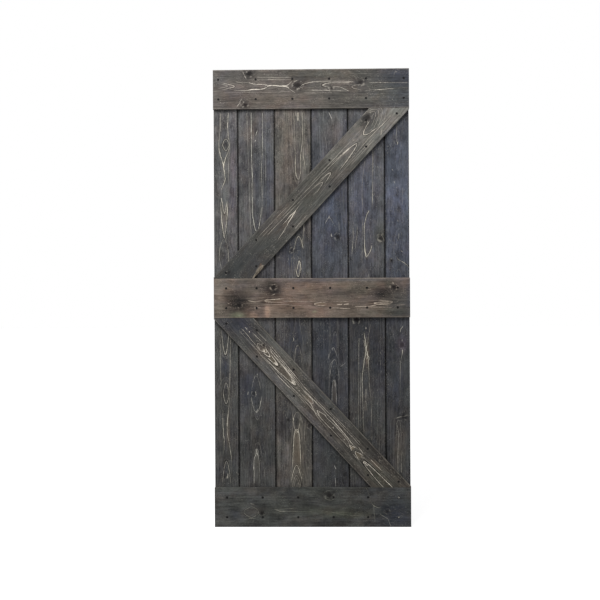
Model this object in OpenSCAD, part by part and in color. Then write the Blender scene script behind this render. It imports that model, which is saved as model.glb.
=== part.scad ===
// Ledged and braced barn door leaf, in millimetres.
// Six tongue-and-groove planks stand side by side, and three ledger rails with two diagonal
// braces are screwed flat across their front. The leaf stands in its hanging position: X runs
// across the door, Z runs up it, and the rails are on the -Y side. The origin is at the middle
// of the bottom edge, in width and in thickness.

/* [Door] */
// Width of the door, over the ends of the rails
door_w = 914.4; // [780:0.1:1100]
// Height of the door
door_h = 2133.6; // [1700:0.1:2600]

/* [Planks] */
// Thickness of a plank
plank_t = 19; // [16:0.5:26]
// Width that each inner plank covers, from seam line to seam line
plank_cover = 171.45; // [140:0.05:210]
// How far the outer planks stop short of the rails' ends
plank_setback = 1.2; // [0.2:0.1:5]
// Gap between two front faces at a seam
seam_gap = 3; // [0.5:0.1:4]
// Gap between two backs at a seam
back_gap = 0.5; // [0.1:0.1:2]
// Chamfer on the long edges of a plank
plank_arris = 1.5; // [0.4:0.1:2.5]
// Thickness of the tongue
tongue_t = 6; // [4:0.1:8]
// How far the tongue reaches past the seam line
tongue_reach = 6; // [4:0.1:9]
// Play between the tongue and each wall of its groove
tongue_play = 0.2; // [0.05:0.05:0.5]
// Space left at the tip of the tongue
tongue_end_play = 1; // [0.3:0.1:2]

/* [Rails] */
// Width of a rail board
rail_w = 184.15; // [140:0.05:240]
// Thickness of the rails and the braces
rail_t = 16; // [12:0.5:22]
// Radius of the round on the long front edges of the rails and braces
face_round = 2.5; // [0.5:0.1:4]
// Radius of the sanded round on the front edges of the rails' sawn ends
end_round = 1.2; // [0.3:0.1:3]

/* [Braces] */
// Width of a brace board
brace_w = 139.7; // [100:0.05:184]
// Height of the blunt end that trims each brace's tip flush with the door's edge
brace_nose = 5; // [1:0.5:15]
// Gap between a brace's mitred end and the rail that it meets
joint_gap = 0.4; // [0.1:0.1:1.5]
// Length of the torn-out stretch on the upper brace's lower edge
tear_len = 80; // [30:1:120]
// Depth of the torn-out stretch, measured diagonally in from the corner
tear_depth = 7.5; // [2:0.5:10]
// Distance from the brace's lower mitre to the middle of the torn-out stretch
tear_at = 42; // [40:1:200]

/* [Screws] */
// Distance from a rail's long edge to its row of screws
rail_screw_inset = 46; // [20:1:65]
// Distance from the top rail's ends to its outermost screws
top_end_inset = 25; // [16:1:60]
// How far each of the bottom rail's six columns of screws stands right of its plank's middle
bottom_drift = [0, 24, 18, 11, 0, 0]; // [0:1:40]
// Distance from a brace's long edge to its row of screws
brace_screw_inset = 28; // [18:1:45]
// Least height between a brace's screw and the rail above or below it
brace_screw_clear = 14; // [8:1:24]
// Length of a screw
screw_l = 30; // [24:1:34]
// Outer diameter of the thread
thread_d = 4.2; // [3.5:0.1:5]
// Diameter of the smooth shank
shank_d = 3.2; // [2.6:0.1:3.4]
// How far short of the rail's back the smooth shank ends and the thread starts
shank_short = 4; // [0:0.5:6]
// Diameter of the countersunk head
head_d = 8.4; // [7:0.1:10]
// How deep the head is sunk below the board's face
head_sink = 0.6; // [0.2:0.1:1.5]
// Radial play of a screw in its holes
screw_play = 0.03; // [0.01:0.01:0.1]

/* [Hidden] */

$fn = 48;
eps = 0.01;

// Stain colours
plank_stain = [0.22, 0.22, 0.25];
rail_stain = [0.33, 0.30, 0.28];
brace_stain = [0.30, 0.29, 0.27];
screw_black = [0.08, 0.08, 0.08];

// Planes across the thickness
front_y = -(plank_t + rail_t) / 2;
joint_y = front_y + rail_t;

// Planks. Plank i lies between seam i and seam i + 1, and the two outer planks are ripped to fit.
plank_count = 6;
field_w = door_w - 2 * plank_setback;
edge_cover = (field_w - (plank_count - 2) * plank_cover) / 2;
function seam_x(i) =
    i == 0 ? -field_w / 2 :
    i == plank_count ? field_w / 2 :
    -field_w / 2 + edge_cover + (i - 1) * plank_cover;
function plank_mid_x(i) = (seam_x(i) + seam_x(i + 1)) / 2;

// Tongue and groove, across the plank's thickness
tongue_front_y = (plank_t - tongue_t) / 2;
tongue_back_y = tongue_front_y + tongue_t;
tongue_chamfer = 1;

// Rails and the two panels between them
middle_z = (door_h - rail_w) / 2;
top_z = door_h - rail_w;
panel_h = middle_z - rail_w;

// Braces. Each runs corner to corner of its panel, so its slope follows from the panel's size.
brace_h = panel_h - 2 * joint_gap;
brace_rise = brace_h - 2 * brace_nose;
brace_angle = atan2(brace_rise, door_w) + asin(brace_w / norm([door_w, brace_rise]));
brace_blank_l = 2 * norm([door_w, brace_h]);
upper_brace_z = middle_z + rail_w + joint_gap;
// Height of a brace's upper edge (side 1) or lower edge (side -1) at x, above its own panel's foot
function brace_edge_z(x, side) =
    side > 0
        ? brace_nose + (x + door_w / 2) * tan(brace_angle)
        : brace_h - brace_nose - (door_w / 2 - x) * tan(brace_angle);

// Screws. The head is a cone over a thin rim, and the smooth shank ends inside the rail.
head_rim = 0.4;
head_cone_h = (head_d - shank_d) / 2;
smooth_l = rail_t - shank_short;
tip_l = 5;
tip_d = 0.4;
shank_hole_d = thread_d + 0.3;
recess_l = 4.6;
recess_w = 1.1;
recess_deep = 2.2;

// Each list holds [x, z] of the screws in one board. The rows follow the planks' middles.
function rail_screws(foot_z, columns) = [
    for (x = columns, z = [rail_screw_inset, rail_w - rail_screw_inset]) [x, foot_z + z]
];
last_plank = plank_count - 1;
middle_columns = [for (i = [0:last_plank]) plank_mid_x(i)];
top_end_x = door_w / 2 - top_end_inset;
top_columns = [
    for (i = [0:last_plank]) i == 0 ? -top_end_x : i == last_plank ? top_end_x : plank_mid_x(i)
];
bottom_columns = [for (i = [0:last_plank]) plank_mid_x(i) + bottom_drift[i]];

top_screws = rail_screws(top_z, top_columns);
middle_screws = rail_screws(middle_z, middle_columns);
bottom_screws = rail_screws(0, bottom_columns);
// A brace has a screw near each long edge in every plank, but only one in each edge plank,
// where the other edge is past the corner. None is nearer to a rail than the clearance.
function brace_rows(i) = i == 0 ? [1] : i == last_plank ? [-1] : [1, -1];
function brace_screw_z(x, side) =
    let (z = brace_edge_z(x, side) - side * brace_screw_inset / cos(brace_angle))
    min(max(z, brace_screw_clear), brace_h - brace_screw_clear);
upper_brace_screws = [
    for (i = [0:last_plank], side = brace_rows(i))
        [plank_mid_x(i), upper_brace_z + brace_screw_z(plank_mid_x(i), side)]
];
lower_brace_screws = [for (s = upper_brace_screws) [s[0], door_h - s[1]]];
all_screws = concat(
    top_screws, middle_screws, bottom_screws, upper_brace_screws, lower_brace_screws
);

// ---- Planks ----

// One plank's section: x across the door, y from the front face (0) to the back.
// The tongue is on the left and the groove on the right, and a ripped outer edge has neither.
module plank_section(i) {
    left = seam_x(i);
    right = seam_x(i + 1);
    a = plank_arris;
    left_edge = i == 0
        ? [[left, plank_t - a], [left, a]]
        : [
            [left + back_gap / 2, plank_t - a],
            [left + back_gap / 2, tongue_back_y],
            [left - tongue_reach + tongue_chamfer, tongue_back_y],
            [left - tongue_reach, tongue_back_y - tongue_chamfer],
            [left - tongue_reach, tongue_front_y + tongue_chamfer],
            [left - tongue_reach + tongue_chamfer, tongue_front_y],
            [left + seam_gap / 2, tongue_front_y],
            [left + seam_gap / 2, a]
        ];
    front_left = i == 0 ? left : left + seam_gap / 2;
    front_right = i == last_plank ? right : right - seam_gap / 2;
    back_left = i == 0 ? left : left + back_gap / 2;
    back_right = i == last_plank ? right : right - back_gap / 2;
    groove_x = right - tongue_reach - tongue_end_play;
    right_edge = i == last_plank
        ? [[right, a], [right, plank_t - a]]
        : [
            [front_right, a],
            [front_right, tongue_front_y - tongue_play],
            [groove_x, tongue_front_y - tongue_play],
            [groove_x, tongue_back_y + tongue_play],
            [back_right, tongue_back_y + tongue_play],
            [back_right, plank_t - a]
        ];
    polygon(concat(
        left_edge,
        [[front_left + a, 0], [front_right - a, 0]],
        right_edge,
        [[back_right - a, plank_t], [back_left + a, plank_t]]
    ));
}

// The hole that one screw's thread and tip fill, from the board's face inwards along +Y.
module thread_hole() {
    reach = head_sink + screw_l;
    rotate([-90, 0, 0]) {
        cylinder(h = reach - tip_l, d = thread_d + 2 * screw_play);
        translate([0, 0, reach - tip_l - eps])
            cylinder(
                h = tip_l + eps,
                d1 = thread_d + 2 * screw_play,
                d2 = tip_d + 2 * screw_play
            );
    }
}

module plank(i) {
    reach_left = seam_x(i) - tongue_reach - thread_d;
    reach_right = seam_x(i + 1) + thread_d;
    color(plank_stain)
        difference() {
            translate([0, joint_y, 0]) linear_extrude(door_h) plank_section(i);
            for (s = all_screws)
                if (s[0] > reach_left && s[0] < reach_right)
                    translate([s[0], front_y, s[1]]) thread_hole();
        }
}

// ---- Rails and braces ----

// A board's section with its two front edges rounded: width along x, thickness along y.
module eased_section(width, thickness, r) {
    translate([r, 0]) square([width - 2 * r, thickness]);
    translate([0, r]) square([width, thickness - r]);
    for (x = [r, width - r]) translate([x, r]) circle(r = r);
}

// A board that lies along X, from its foot at z = 0, with its face at y = 0.
module eased_board(length, width, thickness) {
    rotate([0, -90, 0])
        linear_extrude(length, center = true)
            eased_section(width, thickness, face_round);
}

// The clearance hole and countersink for one screw, from the board's face inwards along +Y.
module shank_hole() {
    rotate([-90, 0, 0]) {
        translate([0, 0, -eps]) cylinder(h = rail_t + 2 * eps, d = shank_hole_d);
        translate([0, 0, -eps]) cylinder(h = head_sink + head_rim + eps, d = head_d + 2 * screw_play);
        translate([0, 0, head_sink + head_rim])
            cylinder(h = head_cone_h, d1 = head_d + 2 * screw_play, d2 = shank_d + 2 * screw_play);
    }
}

module shank_holes(screws) {
    for (s = screws) translate([s[0], front_y, s[1]]) shank_hole();
}

module rail(foot_z, screws) {
    color(rail_stain)
        difference() {
            intersection() {
                translate([0, front_y, foot_z]) eased_board(door_w, rail_w, rail_t);
                translate([-door_w / 2, front_y, foot_z])
                    linear_extrude(rail_w)
                        eased_section(door_w, rail_t, end_round);
            }
            shank_holes(screws);
        }
}

// A brace before drilling, rising to the right from the foot of its panel at z = 0.
// The tilted board is thicker than it needs to be, and the panel's box planes its back flat.
module brace_blank() {
    intersection() {
        translate([0, front_y, brace_edge_z(0, -1)])
            rotate([0, -brace_angle, 0])
                eased_board(brace_blank_l, brace_w, rail_t + 1);
        translate([-door_w / 2, front_y - 1, 0]) cube([door_w, rail_t + 1, brace_h]);
    }
}

// The tool that scoops the torn-out stretch from the corner of the brace's lower front edge:
// a cylinder that lies across the corner, at 45 degrees to the face and to the edge.
module tear_scoop() {
    scoop_r = pow(tear_len / 2, 2) / (2 * tear_depth);
    foot_x = door_w / 2 - (brace_h - brace_nose) / tan(brace_angle);
    axis_off = (scoop_r - tear_depth) / sqrt(2);
    translate([foot_x, front_y, 0])
        rotate([0, -brace_angle, 0])
            translate([tear_at, -axis_off, -axis_off])
                rotate([45, 0, 0])
                    cylinder(h = 60, r = scoop_r, center = true, $fn = 96);
}

module upper_brace() {
    color(brace_stain)
        difference() {
            translate([0, 0, upper_brace_z])
                difference() {
                    brace_blank();
                    tear_scoop();
                }
            shank_holes(upper_brace_screws);
        }
}

module lower_brace() {
    color(brace_stain)
        difference() {
            translate([0, 0, door_h - upper_brace_z]) mirror([0, 0, 1]) brace_blank();
            shank_holes(lower_brace_screws);
        }
}

// ---- Screws ----

// One wood screw, its thread as a plain cylinder, from the board's face inwards along +Y.
module screw() {
    thread_start = head_sink + smooth_l;
    thread_end = head_sink + screw_l - tip_l;
    rotate([-90, 0, 0])
        difference() {
            union() {
                translate([0, 0, head_sink]) cylinder(h = head_rim, d = head_d);
                translate([0, 0, head_sink + head_rim])
                    cylinder(h = head_cone_h, d1 = head_d, d2 = shank_d);
                translate([0, 0, head_sink + head_rim]) cylinder(h = smooth_l, d = shank_d);
                translate([0, 0, thread_start]) cylinder(h = thread_end - thread_start, d = thread_d);
                translate([0, 0, thread_end]) cylinder(h = tip_l, d1 = thread_d, d2 = tip_d);
            }
            for (turn = [0, 90])
                rotate(turn)
                    translate([-recess_l / 2, -recess_w / 2, head_sink - eps])
                        cube([recess_l, recess_w, recess_deep + eps]);
        }
}

module screw_set(screws) {
    color(screw_black)
        for (s = screws) translate([s[0], front_y, s[1]]) screw();
}

plank(0);  // plank_left_edge
plank(1);  // plank_2
plank(2);  // plank_3
plank(3);  // plank_4
plank(4);  // plank_5
plank(5);  // plank_right_edge
rail(top_z, top_screws);  // top_rail
rail(middle_z, middle_screws);  // middle_rail
rail(0, bottom_screws);  // bottom_rail
upper_brace();
lower_brace();
screw_set(top_screws);  // top_rail_screws
screw_set(middle_screws);  // middle_rail_screws
screw_set(bottom_screws);  // bottom_rail_screws
screw_set(upper_brace_screws);
screw_set(lower_brace_screws);
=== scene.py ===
# %% [markdown]
# # A charcoal-stained barn door, lesson in cells
# The leaf is six tongue-and-groove pine planks with three rails and two diagonal braces
# screwed across the front. Its construction comes in finished as solids, so this script is
# about looks: knotty pine under a thin dark stain, made wholly from shader nodes, the worn
# edges of hand-built joinery, and real screws. Everything is in metres, and the door stands
# in its hanging position: X across, Z up, and the rails on the -Y side.

# %% Load the solids
import math
import random

import bmesh
import bpy
from mathutils import Matrix, Vector


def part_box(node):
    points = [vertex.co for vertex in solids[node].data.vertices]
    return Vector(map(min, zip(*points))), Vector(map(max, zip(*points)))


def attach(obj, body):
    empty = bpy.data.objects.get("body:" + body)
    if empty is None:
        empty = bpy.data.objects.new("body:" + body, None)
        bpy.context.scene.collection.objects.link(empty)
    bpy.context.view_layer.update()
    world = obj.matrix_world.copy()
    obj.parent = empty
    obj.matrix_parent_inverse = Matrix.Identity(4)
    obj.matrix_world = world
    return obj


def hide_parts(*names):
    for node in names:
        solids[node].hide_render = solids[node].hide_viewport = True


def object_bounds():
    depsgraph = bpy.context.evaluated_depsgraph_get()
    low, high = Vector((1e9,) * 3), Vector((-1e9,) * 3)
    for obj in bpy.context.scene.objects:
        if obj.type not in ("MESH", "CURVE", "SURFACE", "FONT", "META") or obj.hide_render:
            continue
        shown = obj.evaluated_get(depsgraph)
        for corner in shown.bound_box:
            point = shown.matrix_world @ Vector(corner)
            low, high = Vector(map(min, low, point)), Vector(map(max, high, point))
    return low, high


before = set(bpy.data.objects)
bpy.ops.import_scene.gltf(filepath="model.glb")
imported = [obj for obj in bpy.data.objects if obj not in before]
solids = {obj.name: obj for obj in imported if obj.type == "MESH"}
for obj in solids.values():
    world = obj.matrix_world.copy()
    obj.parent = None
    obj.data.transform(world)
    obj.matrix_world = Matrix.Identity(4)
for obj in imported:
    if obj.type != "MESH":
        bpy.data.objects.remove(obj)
cad_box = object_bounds()
scene = bpy.context.scene
MM = 0.001

door_low, door_high = cad_box
front_y = door_low.y
print("door:", [round(v, 4) for v in door_high - door_low], "m, solids:", len(solids))

# %% [markdown]
# ## Sums that build nodes
# A wood shader is mostly arithmetic: distances, waves and masks. Wiring dozens of Math nodes
# by hand hides the idea, and a text formula is easier to read and to change. So this small
# class stands for a number that flows through a material. Adding or multiplying two of them
# adds the Math node that does it, and the tree that comes out is an ordinary one.

# %% A number in a shader tree
class Flow:
    """A value in a shader tree. Arithmetic on it adds the Math node that does the sum."""

    def __init__(self, tree, socket):
        self.tree = tree
        self.socket = socket

    def math(self, operation, *others):
        """One Math node, on this value and the others."""
        node = self.tree.nodes.new("ShaderNodeMath")
        node.operation = operation
        for value, socket in zip((self, *others), node.inputs):
            plug(self.tree, value, socket)
        return Flow(self.tree, node.outputs[0])

    def __add__(self, other):
        return self.math("ADD", other)

    def __sub__(self, other):
        return self.math("SUBTRACT", other)

    def __mul__(self, other):
        return self.math("MULTIPLY", other)

    def __truediv__(self, other):
        return self.math("DIVIDE", other)

    def __neg__(self):
        return self.math("MULTIPLY", -1.0)

    def left(self):
        """What is left of 1."""
        return self * -1.0 + 1.0

    def squared(self):
        return self * self

    def root(self):
        return self.math("SQRT")

    def smooth(self, low, high, to_low=0.0, to_high=1.0):
        """0 below low, 1 above high, with a soft step between; low may be the larger."""
        node = self.tree.nodes.new("ShaderNodeMapRange")
        node.interpolation_type = "SMOOTHSTEP"
        ends = (low, high, to_low, to_high) if low < high else (high, low, to_high, to_low)
        for value, socket in zip((self, *ends), node.inputs):
            plug(self.tree, value, socket)
        return Flow(self.tree, node.outputs[0])

    def bell(self):
        """exp(-x * x): 1 at zero and falling away on both sides."""
        return (-self.squared()).math("EXPONENT")


def plug(tree, value, socket):
    """Links a Flow to a socket, or sets the socket to a plain value."""
    if isinstance(value, Flow):
        tree.links.new(value.socket, socket)
    else:
        socket.default_value = value


# %% Noise and curves
def vector(tree, x, y, z):
    """Three values as one vector, which is what textures read."""
    node = tree.nodes.new("ShaderNodeCombineXYZ")
    for value, socket in zip((x, y, z), node.inputs):
        plug(tree, value, socket)
    return Flow(tree, node.outputs[0])


def noise(place, scale, detail=2.0, roughness=0.5):
    """Smooth noise about 0.5 at a place, which is a vector Flow."""
    node = place.tree.nodes.new("ShaderNodeTexNoise")
    plug(place.tree, place, node.inputs["Vector"])
    node.inputs["Scale"].default_value = scale
    node.inputs["Detail"].default_value = detail
    node.inputs["Roughness"].default_value = roughness
    return Flow(place.tree, node.outputs[0])


def curve(value, points):
    """A smooth curve through points, for a value from 0 to 1."""
    node = value.tree.nodes.new("ShaderNodeFloatCurve")
    plug(value.tree, value, node.inputs["Value"])
    line = node.mapping.curves[0]
    for (x, y), point in zip((points[0], points[-1]), (line.points[0], line.points[1])):
        point.location = (x, y)
    for x, y in points[1:-1]:
        line.points.new(x, y)
    node.mapping.update()
    return Flow(value.tree, node.outputs[0])


# %% Colours
def mix(share, first, second):
    """Blends two colours by a share, a Flow; each may be a Flow or a plain (r, g, b)."""
    node = share.tree.nodes.new("ShaderNodeMix")
    node.data_type = "RGBA"
    sockets = {socket.identifier: socket for socket in (*node.inputs, *node.outputs)}
    plug(share.tree, share, sockets["Factor_Float"])
    for colour, name in ((first, "A_Color"), (second, "B_Color")):
        plug(share.tree, colour if isinstance(colour, Flow) else (*colour, 1.0), sockets[name])
    return Flow(share.tree, sockets["Result_Color"])


def colour_product(operation, colour, by):
    """A colour times another colour, with MULTIPLY, or times a number, with SCALE."""
    node = colour.tree.nodes.new("ShaderNodeVectorMath")
    node.operation = operation
    plug(colour.tree, colour, node.inputs[0])
    plug(colour.tree, by, node.inputs["Scale" if operation == "SCALE" else 1])
    return Flow(colour.tree, node.outputs[0])


# %% Materials, places and relief
def new_material(name, specular):
    """A material, its tree and its shader; the specular level is the same all over."""
    material = bpy.data.materials.new(name)
    material.use_nodes = True
    shader = material.node_tree.nodes["Principled BSDF"]
    shader.inputs["Specular IOR Level"].default_value = specular
    return material, material.node_tree, shader


def object_place(tree):
    """Where a point is on the leaf: x, y and z, in metres."""
    coordinates = tree.nodes.new("ShaderNodeTexCoord")
    split = tree.nodes.new("ShaderNodeSeparateXYZ")
    tree.links.new(coordinates.outputs["Object"], split.inputs[0])
    return [Flow(tree, socket) for socket in split.outputs]


def relief(shader, height, strength, distance):
    """Small dents and ridges, up to a distance in metres."""
    bump = height.tree.nodes.new("ShaderNodeBump")
    bump.inputs["Strength"].default_value = strength
    bump.inputs["Distance"].default_value = distance
    plug(height.tree, height, bump.inputs["Height"])
    height.tree.links.new(bump.outputs["Normal"], shader.inputs["Normal"])


# %% A reusable group of nodes
def group(name, inputs, build):
    """A node group whose build function takes one Flow per input and returns its outputs."""
    tree = bpy.data.node_groups.new(name, "ShaderNodeTree")
    for label in inputs:
        tree.interface.new_socket(label, in_out="INPUT", socket_type="NodeSocketFloat")
    entry = tree.nodes.new("NodeGroupInput")
    outputs = build(tree, *[Flow(tree, entry.outputs[label]) for label in inputs])
    for label in outputs:
        tree.interface.new_socket(label, in_out="OUTPUT", socket_type="NodeSocketFloat")
    leave = tree.nodes.new("NodeGroupOutput")
    for label, value in outputs.items():
        plug(tree, value, leave.inputs[label])
    print(name, "group:", len(tree.nodes), "nodes")
    return tree


def use(tree, node_group, *values):
    """Adds a group to a tree and returns its outputs by name."""
    node = tree.nodes.new("ShaderNodeGroup")
    node.node_tree = node_group
    for value, socket in zip(values, node.inputs):
        plug(tree, value, socket)
    return {socket.name: Flow(tree, socket) for socket in node.outputs}


# %% [markdown]
# ## How a sawn board gets its figure
# A log's growth rings are nested cones around its pith. A flat-sawn board slices them, so a
# point on the face is on ring number sqrt(across² + depth²) / ring width, where depth is how
# far the pith runs below the face. As the pith comes nearer or goes deeper along the board,
# the rings close into the pointed arches that are called cathedrals. Each board below has its
# own pith line, so its arches, ovals and hairpins are where they should be, and the same sum
# draws the right curves on the board's edges and ends.

# %% Knots push the grain aside
KNOT_LENGTH, KNOT_RAGGED = 1.2, 2.2
FLOW_LENGTH, FLOW_WIDTH, FLOW_PUSH = 3.0, 1.9, 0.9
SWELL_WIDTH, SWELL_RINGS = 2.3, 1.2
HEART_DARK, SHADE_WIDTH, SHADE_DARK = 0.9, 2.2, 0.8
RIM_RADIUS, RIM_WIDTH, RIM_PALE = 1.45, 0.3, 0.55


def build_knot(tree, along, across, knot_along, knot_across, radius, dark):
    """The push on the grain, the swell of the rings, and the masks of a knot's colours."""
    du = along - knot_along
    dv = across - knot_across
    place = vector(tree, along, across, knot_along)
    ragged = noise(place, scale=55.0, detail=4.0, roughness=0.65) - 0.5
    reach = ((du / KNOT_LENGTH).squared() + dv.squared()).root() / radius + ragged * KNOT_RAGGED
    flow = ((du / FLOW_LENGTH).squared() + dv.squared()).root() / radius
    grip = (flow / FLOW_WIDTH).bell()
    rim = ((reach - RIM_RADIUS) / RIM_WIDTH).bell() * (ragged * 4.0).smooth(0.0, 0.5)
    return {
        "Push": -(dv * grip) * FLOW_PUSH,
        "Swell": (reach / SWELL_WIDTH).bell() * SWELL_RINGS,
        "Heart": reach.smooth(1.1, 0.3) * dark * HEART_DARK,
        "Shade": (reach / SHADE_WIDTH + ragged).bell() * dark * SHADE_DARK,
        "Rim": rim * dark * RIM_PALE,
    }


knot_group = group(
    "knot", ["Along", "Across", "Knot along", "Knot across", "Radius", "Dark"], build_knot
)


# %% A soft oval patch, for tints and calm spots
def build_patch(tree, along, across, middle_along, middle_across, length, width):
    """1 in the middle of an oval, and about a third at its edge."""
    far = ((along - middle_along) / length).squared() + ((across - middle_across) / width).squared()
    return {"Share": (-far).math("EXPONENT")}


patch_group = group(
    "patch", ["Along", "Across", "Middle along", "Middle across", "Length", "Width"], build_patch
)

# %% [markdown]
# ## Three kinds of bright line
# The pale lines that catch the eye on a stained board are its hardest latewood. Some close
# into a hairpin where the saw grazed a ring, some run on as strands, and some are short
# threads. Curves with thickness could lie on the face, but a line in wood has no edge to feel
# and has to follow every knot. So each line is a distance: how far is this point from it? A
# smooth step turns the distance into brightness, and the groups keep the sums in one place.

# %% A hard line has fainter ones beside it, a ring's width away
COMPANION, NEAR_SHARE, FAR_SHARE = 5.6 * MM, 0.13, 0.06
FLANK = 3.1 * MM


def build_line(tree, far, amount, thick):
    """Brightness at a distance from a line, and the darker wood that flanks it."""
    far = far.math("ABSOLUTE")
    wide = thick * (amount * 0.35 + 0.75)
    beside = ((far - COMPANION).math("ABSOLUTE") / thick).smooth(0.9, 0.0) * NEAR_SHARE
    further = ((far - COMPANION * 2.1).math("ABSOLUTE") / thick).smooth(0.9, 0.0) * FAR_SHARE
    line = (far / wide).smooth(1.0, 0.25)
    return {
        "Line": line.math("MAXIMUM", beside).math("MAXIMUM", further) * amount,
        "Flank": ((far - FLANK) / FLANK * 2.0).bell() * amount,
    }


line_group = group("line", ["Far", "Amount", "Thick"], build_line)


# %% A hairpin: the hard line of one cathedral arch
def build_hairpin(tree, along, across, tip, middle, reach, half, blunt, amount, thick):
    """Two arms that meet in a tip and spread to half the width at the end of their reach."""
    run = (along - tip) / reach
    off = (across - middle).math("ABSOLUTE") / half
    level = off.math("POWER", blunt) - run
    slope = off.math("POWER", blunt - 1.0) * blunt / half
    far = level / (slope.squared() + reach.squared().math("POWER", -1.0)).root()
    fade = run.smooth(1.05, 0.7)
    line = use(tree, line_group, far, amount, thick)
    return {
        "Line": line["Line"] * fade,
        "Flank": line["Flank"] * fade,
        "Inside": far.smooth(1 * MM, -4 * MM) * fade * amount,
    }


hairpin_group = group(
    "hairpin",
    ["Along", "Across", "Tip", "Middle", "Reach", "Half", "Blunt", "Amount", "Thick"],
    build_hairpin,
)


# %% A thread: one hard line that runs free
def build_thread(tree, along, across, start, start_across, end, end_across, amount, thick):
    """A straight line between two points that fades at both ends."""
    run = (along - start) / (end - start)
    rise = end_across - start_across
    tilt = rise / (end - start)
    far = (across - start_across - rise * run) / (tilt.squared() + 1.0).root()
    outside = (along - start).math("MINIMUM", end - along)
    fade = outside.smooth(-3 * MM, 4 * MM) * amount
    return {"Line": (far.math("ABSOLUTE") / thick).smooth(1.0, 0.25) * fade}


thread_group = group(
    "thread",
    ["Along", "Across", "Start", "Start across", "End", "End across", "Amount", "Thick"],
    build_thread,
)

# %% A strand: one hard line along a smooth curve, brighter in some stretches
SPREAD = 0.25
BRIGHTEST = 2


def strand(tree, where, place, points, thick):
    """The line through (along, across, brightness) points in millimetres, and its flanks."""
    first, last = points[0][0] * MM, points[-1][0] * MM
    middle = points[0][1] * MM
    share = (where - first) / (last - first)
    steps = [(a * MM - first) / (last - first) for a, c, w in points]
    sideways = [(c * MM - middle) / SPREAD + 0.5 for a, c, w in points]
    drift = curve(share, list(zip(steps, sideways)))
    amount = curve(share, [(t, w / BRIGHTEST) for t, (a, c, w) in zip(steps, points)]) * BRIGHTEST
    far = place - middle - (drift - 0.5) * SPREAD
    inside = share.math("MINIMUM", share.left()) * (last - first)
    line = use(tree, line_group, far, amount, thick)
    fade = inside.smooth(-2 * MM, 3 * MM)
    return line["Line"] * fade, line["Flank"] * fade


# %% [markdown]
# ## The boards, one by one
# Each board is described the way a sawyer would mark it up, in millimetres along and across:
# the line that the pith takes behind the face, the knots with their radius and darkness, the
# arches and threads where the hard grain shows brightest through the stain, and the tints.
# Planks measure along Z and across X, rails along X and across Z. A brace measures from its
# own corner, along its length and across its width. An image would hold all this too, but a
# list stays sharp at any size, and one number moves a knot.
# - heart is where the pith runs across the board, and pith is a list of (along, depth)
# - ring is the width of a year's growth, and seed sets the board's own random pattern
# - ground and second are the two tones of the stain, and grain is the pale lines' colour
# - a knot is (along, across, radius, darkness)
# - an arch is (tip along, tip across, reach, half width, bluntness, brightness, fill)
# - a strand is a list of (along, across, brightness)
# - a thread is (start along, start across, end along, end across, brightness)
# - a tint is (along, across, length, width, colour, amount)
# - a calm spot, where thick stain hides the grain, is (along, across, length, width, amount)
# - the torn wedge, where raw wood shows, is (narrow end along, wide end along, two widths)
# - fill is the colour inside the arches, and worn_and_highlight is how pale the arrises are:
#   rubbed bare, with a painted highlight
# - fine narrows the grain lines below 1, and patchy evens out the blotches below 1

# %% Tints of the stain
SLATE = (0.034, 0.037, 0.050)
COLD = (0.048, 0.053, 0.072)
SMOKE = (0.085, 0.083, 0.080)
UMBER = (0.115, 0.090, 0.070)
MOSS = (0.070, 0.071, 0.055)
PITCH = (0.012, 0.011, 0.011)
PLUM = (0.085, 0.072, 0.090)
TAN = (0.30, 0.235, 0.15)
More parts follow.
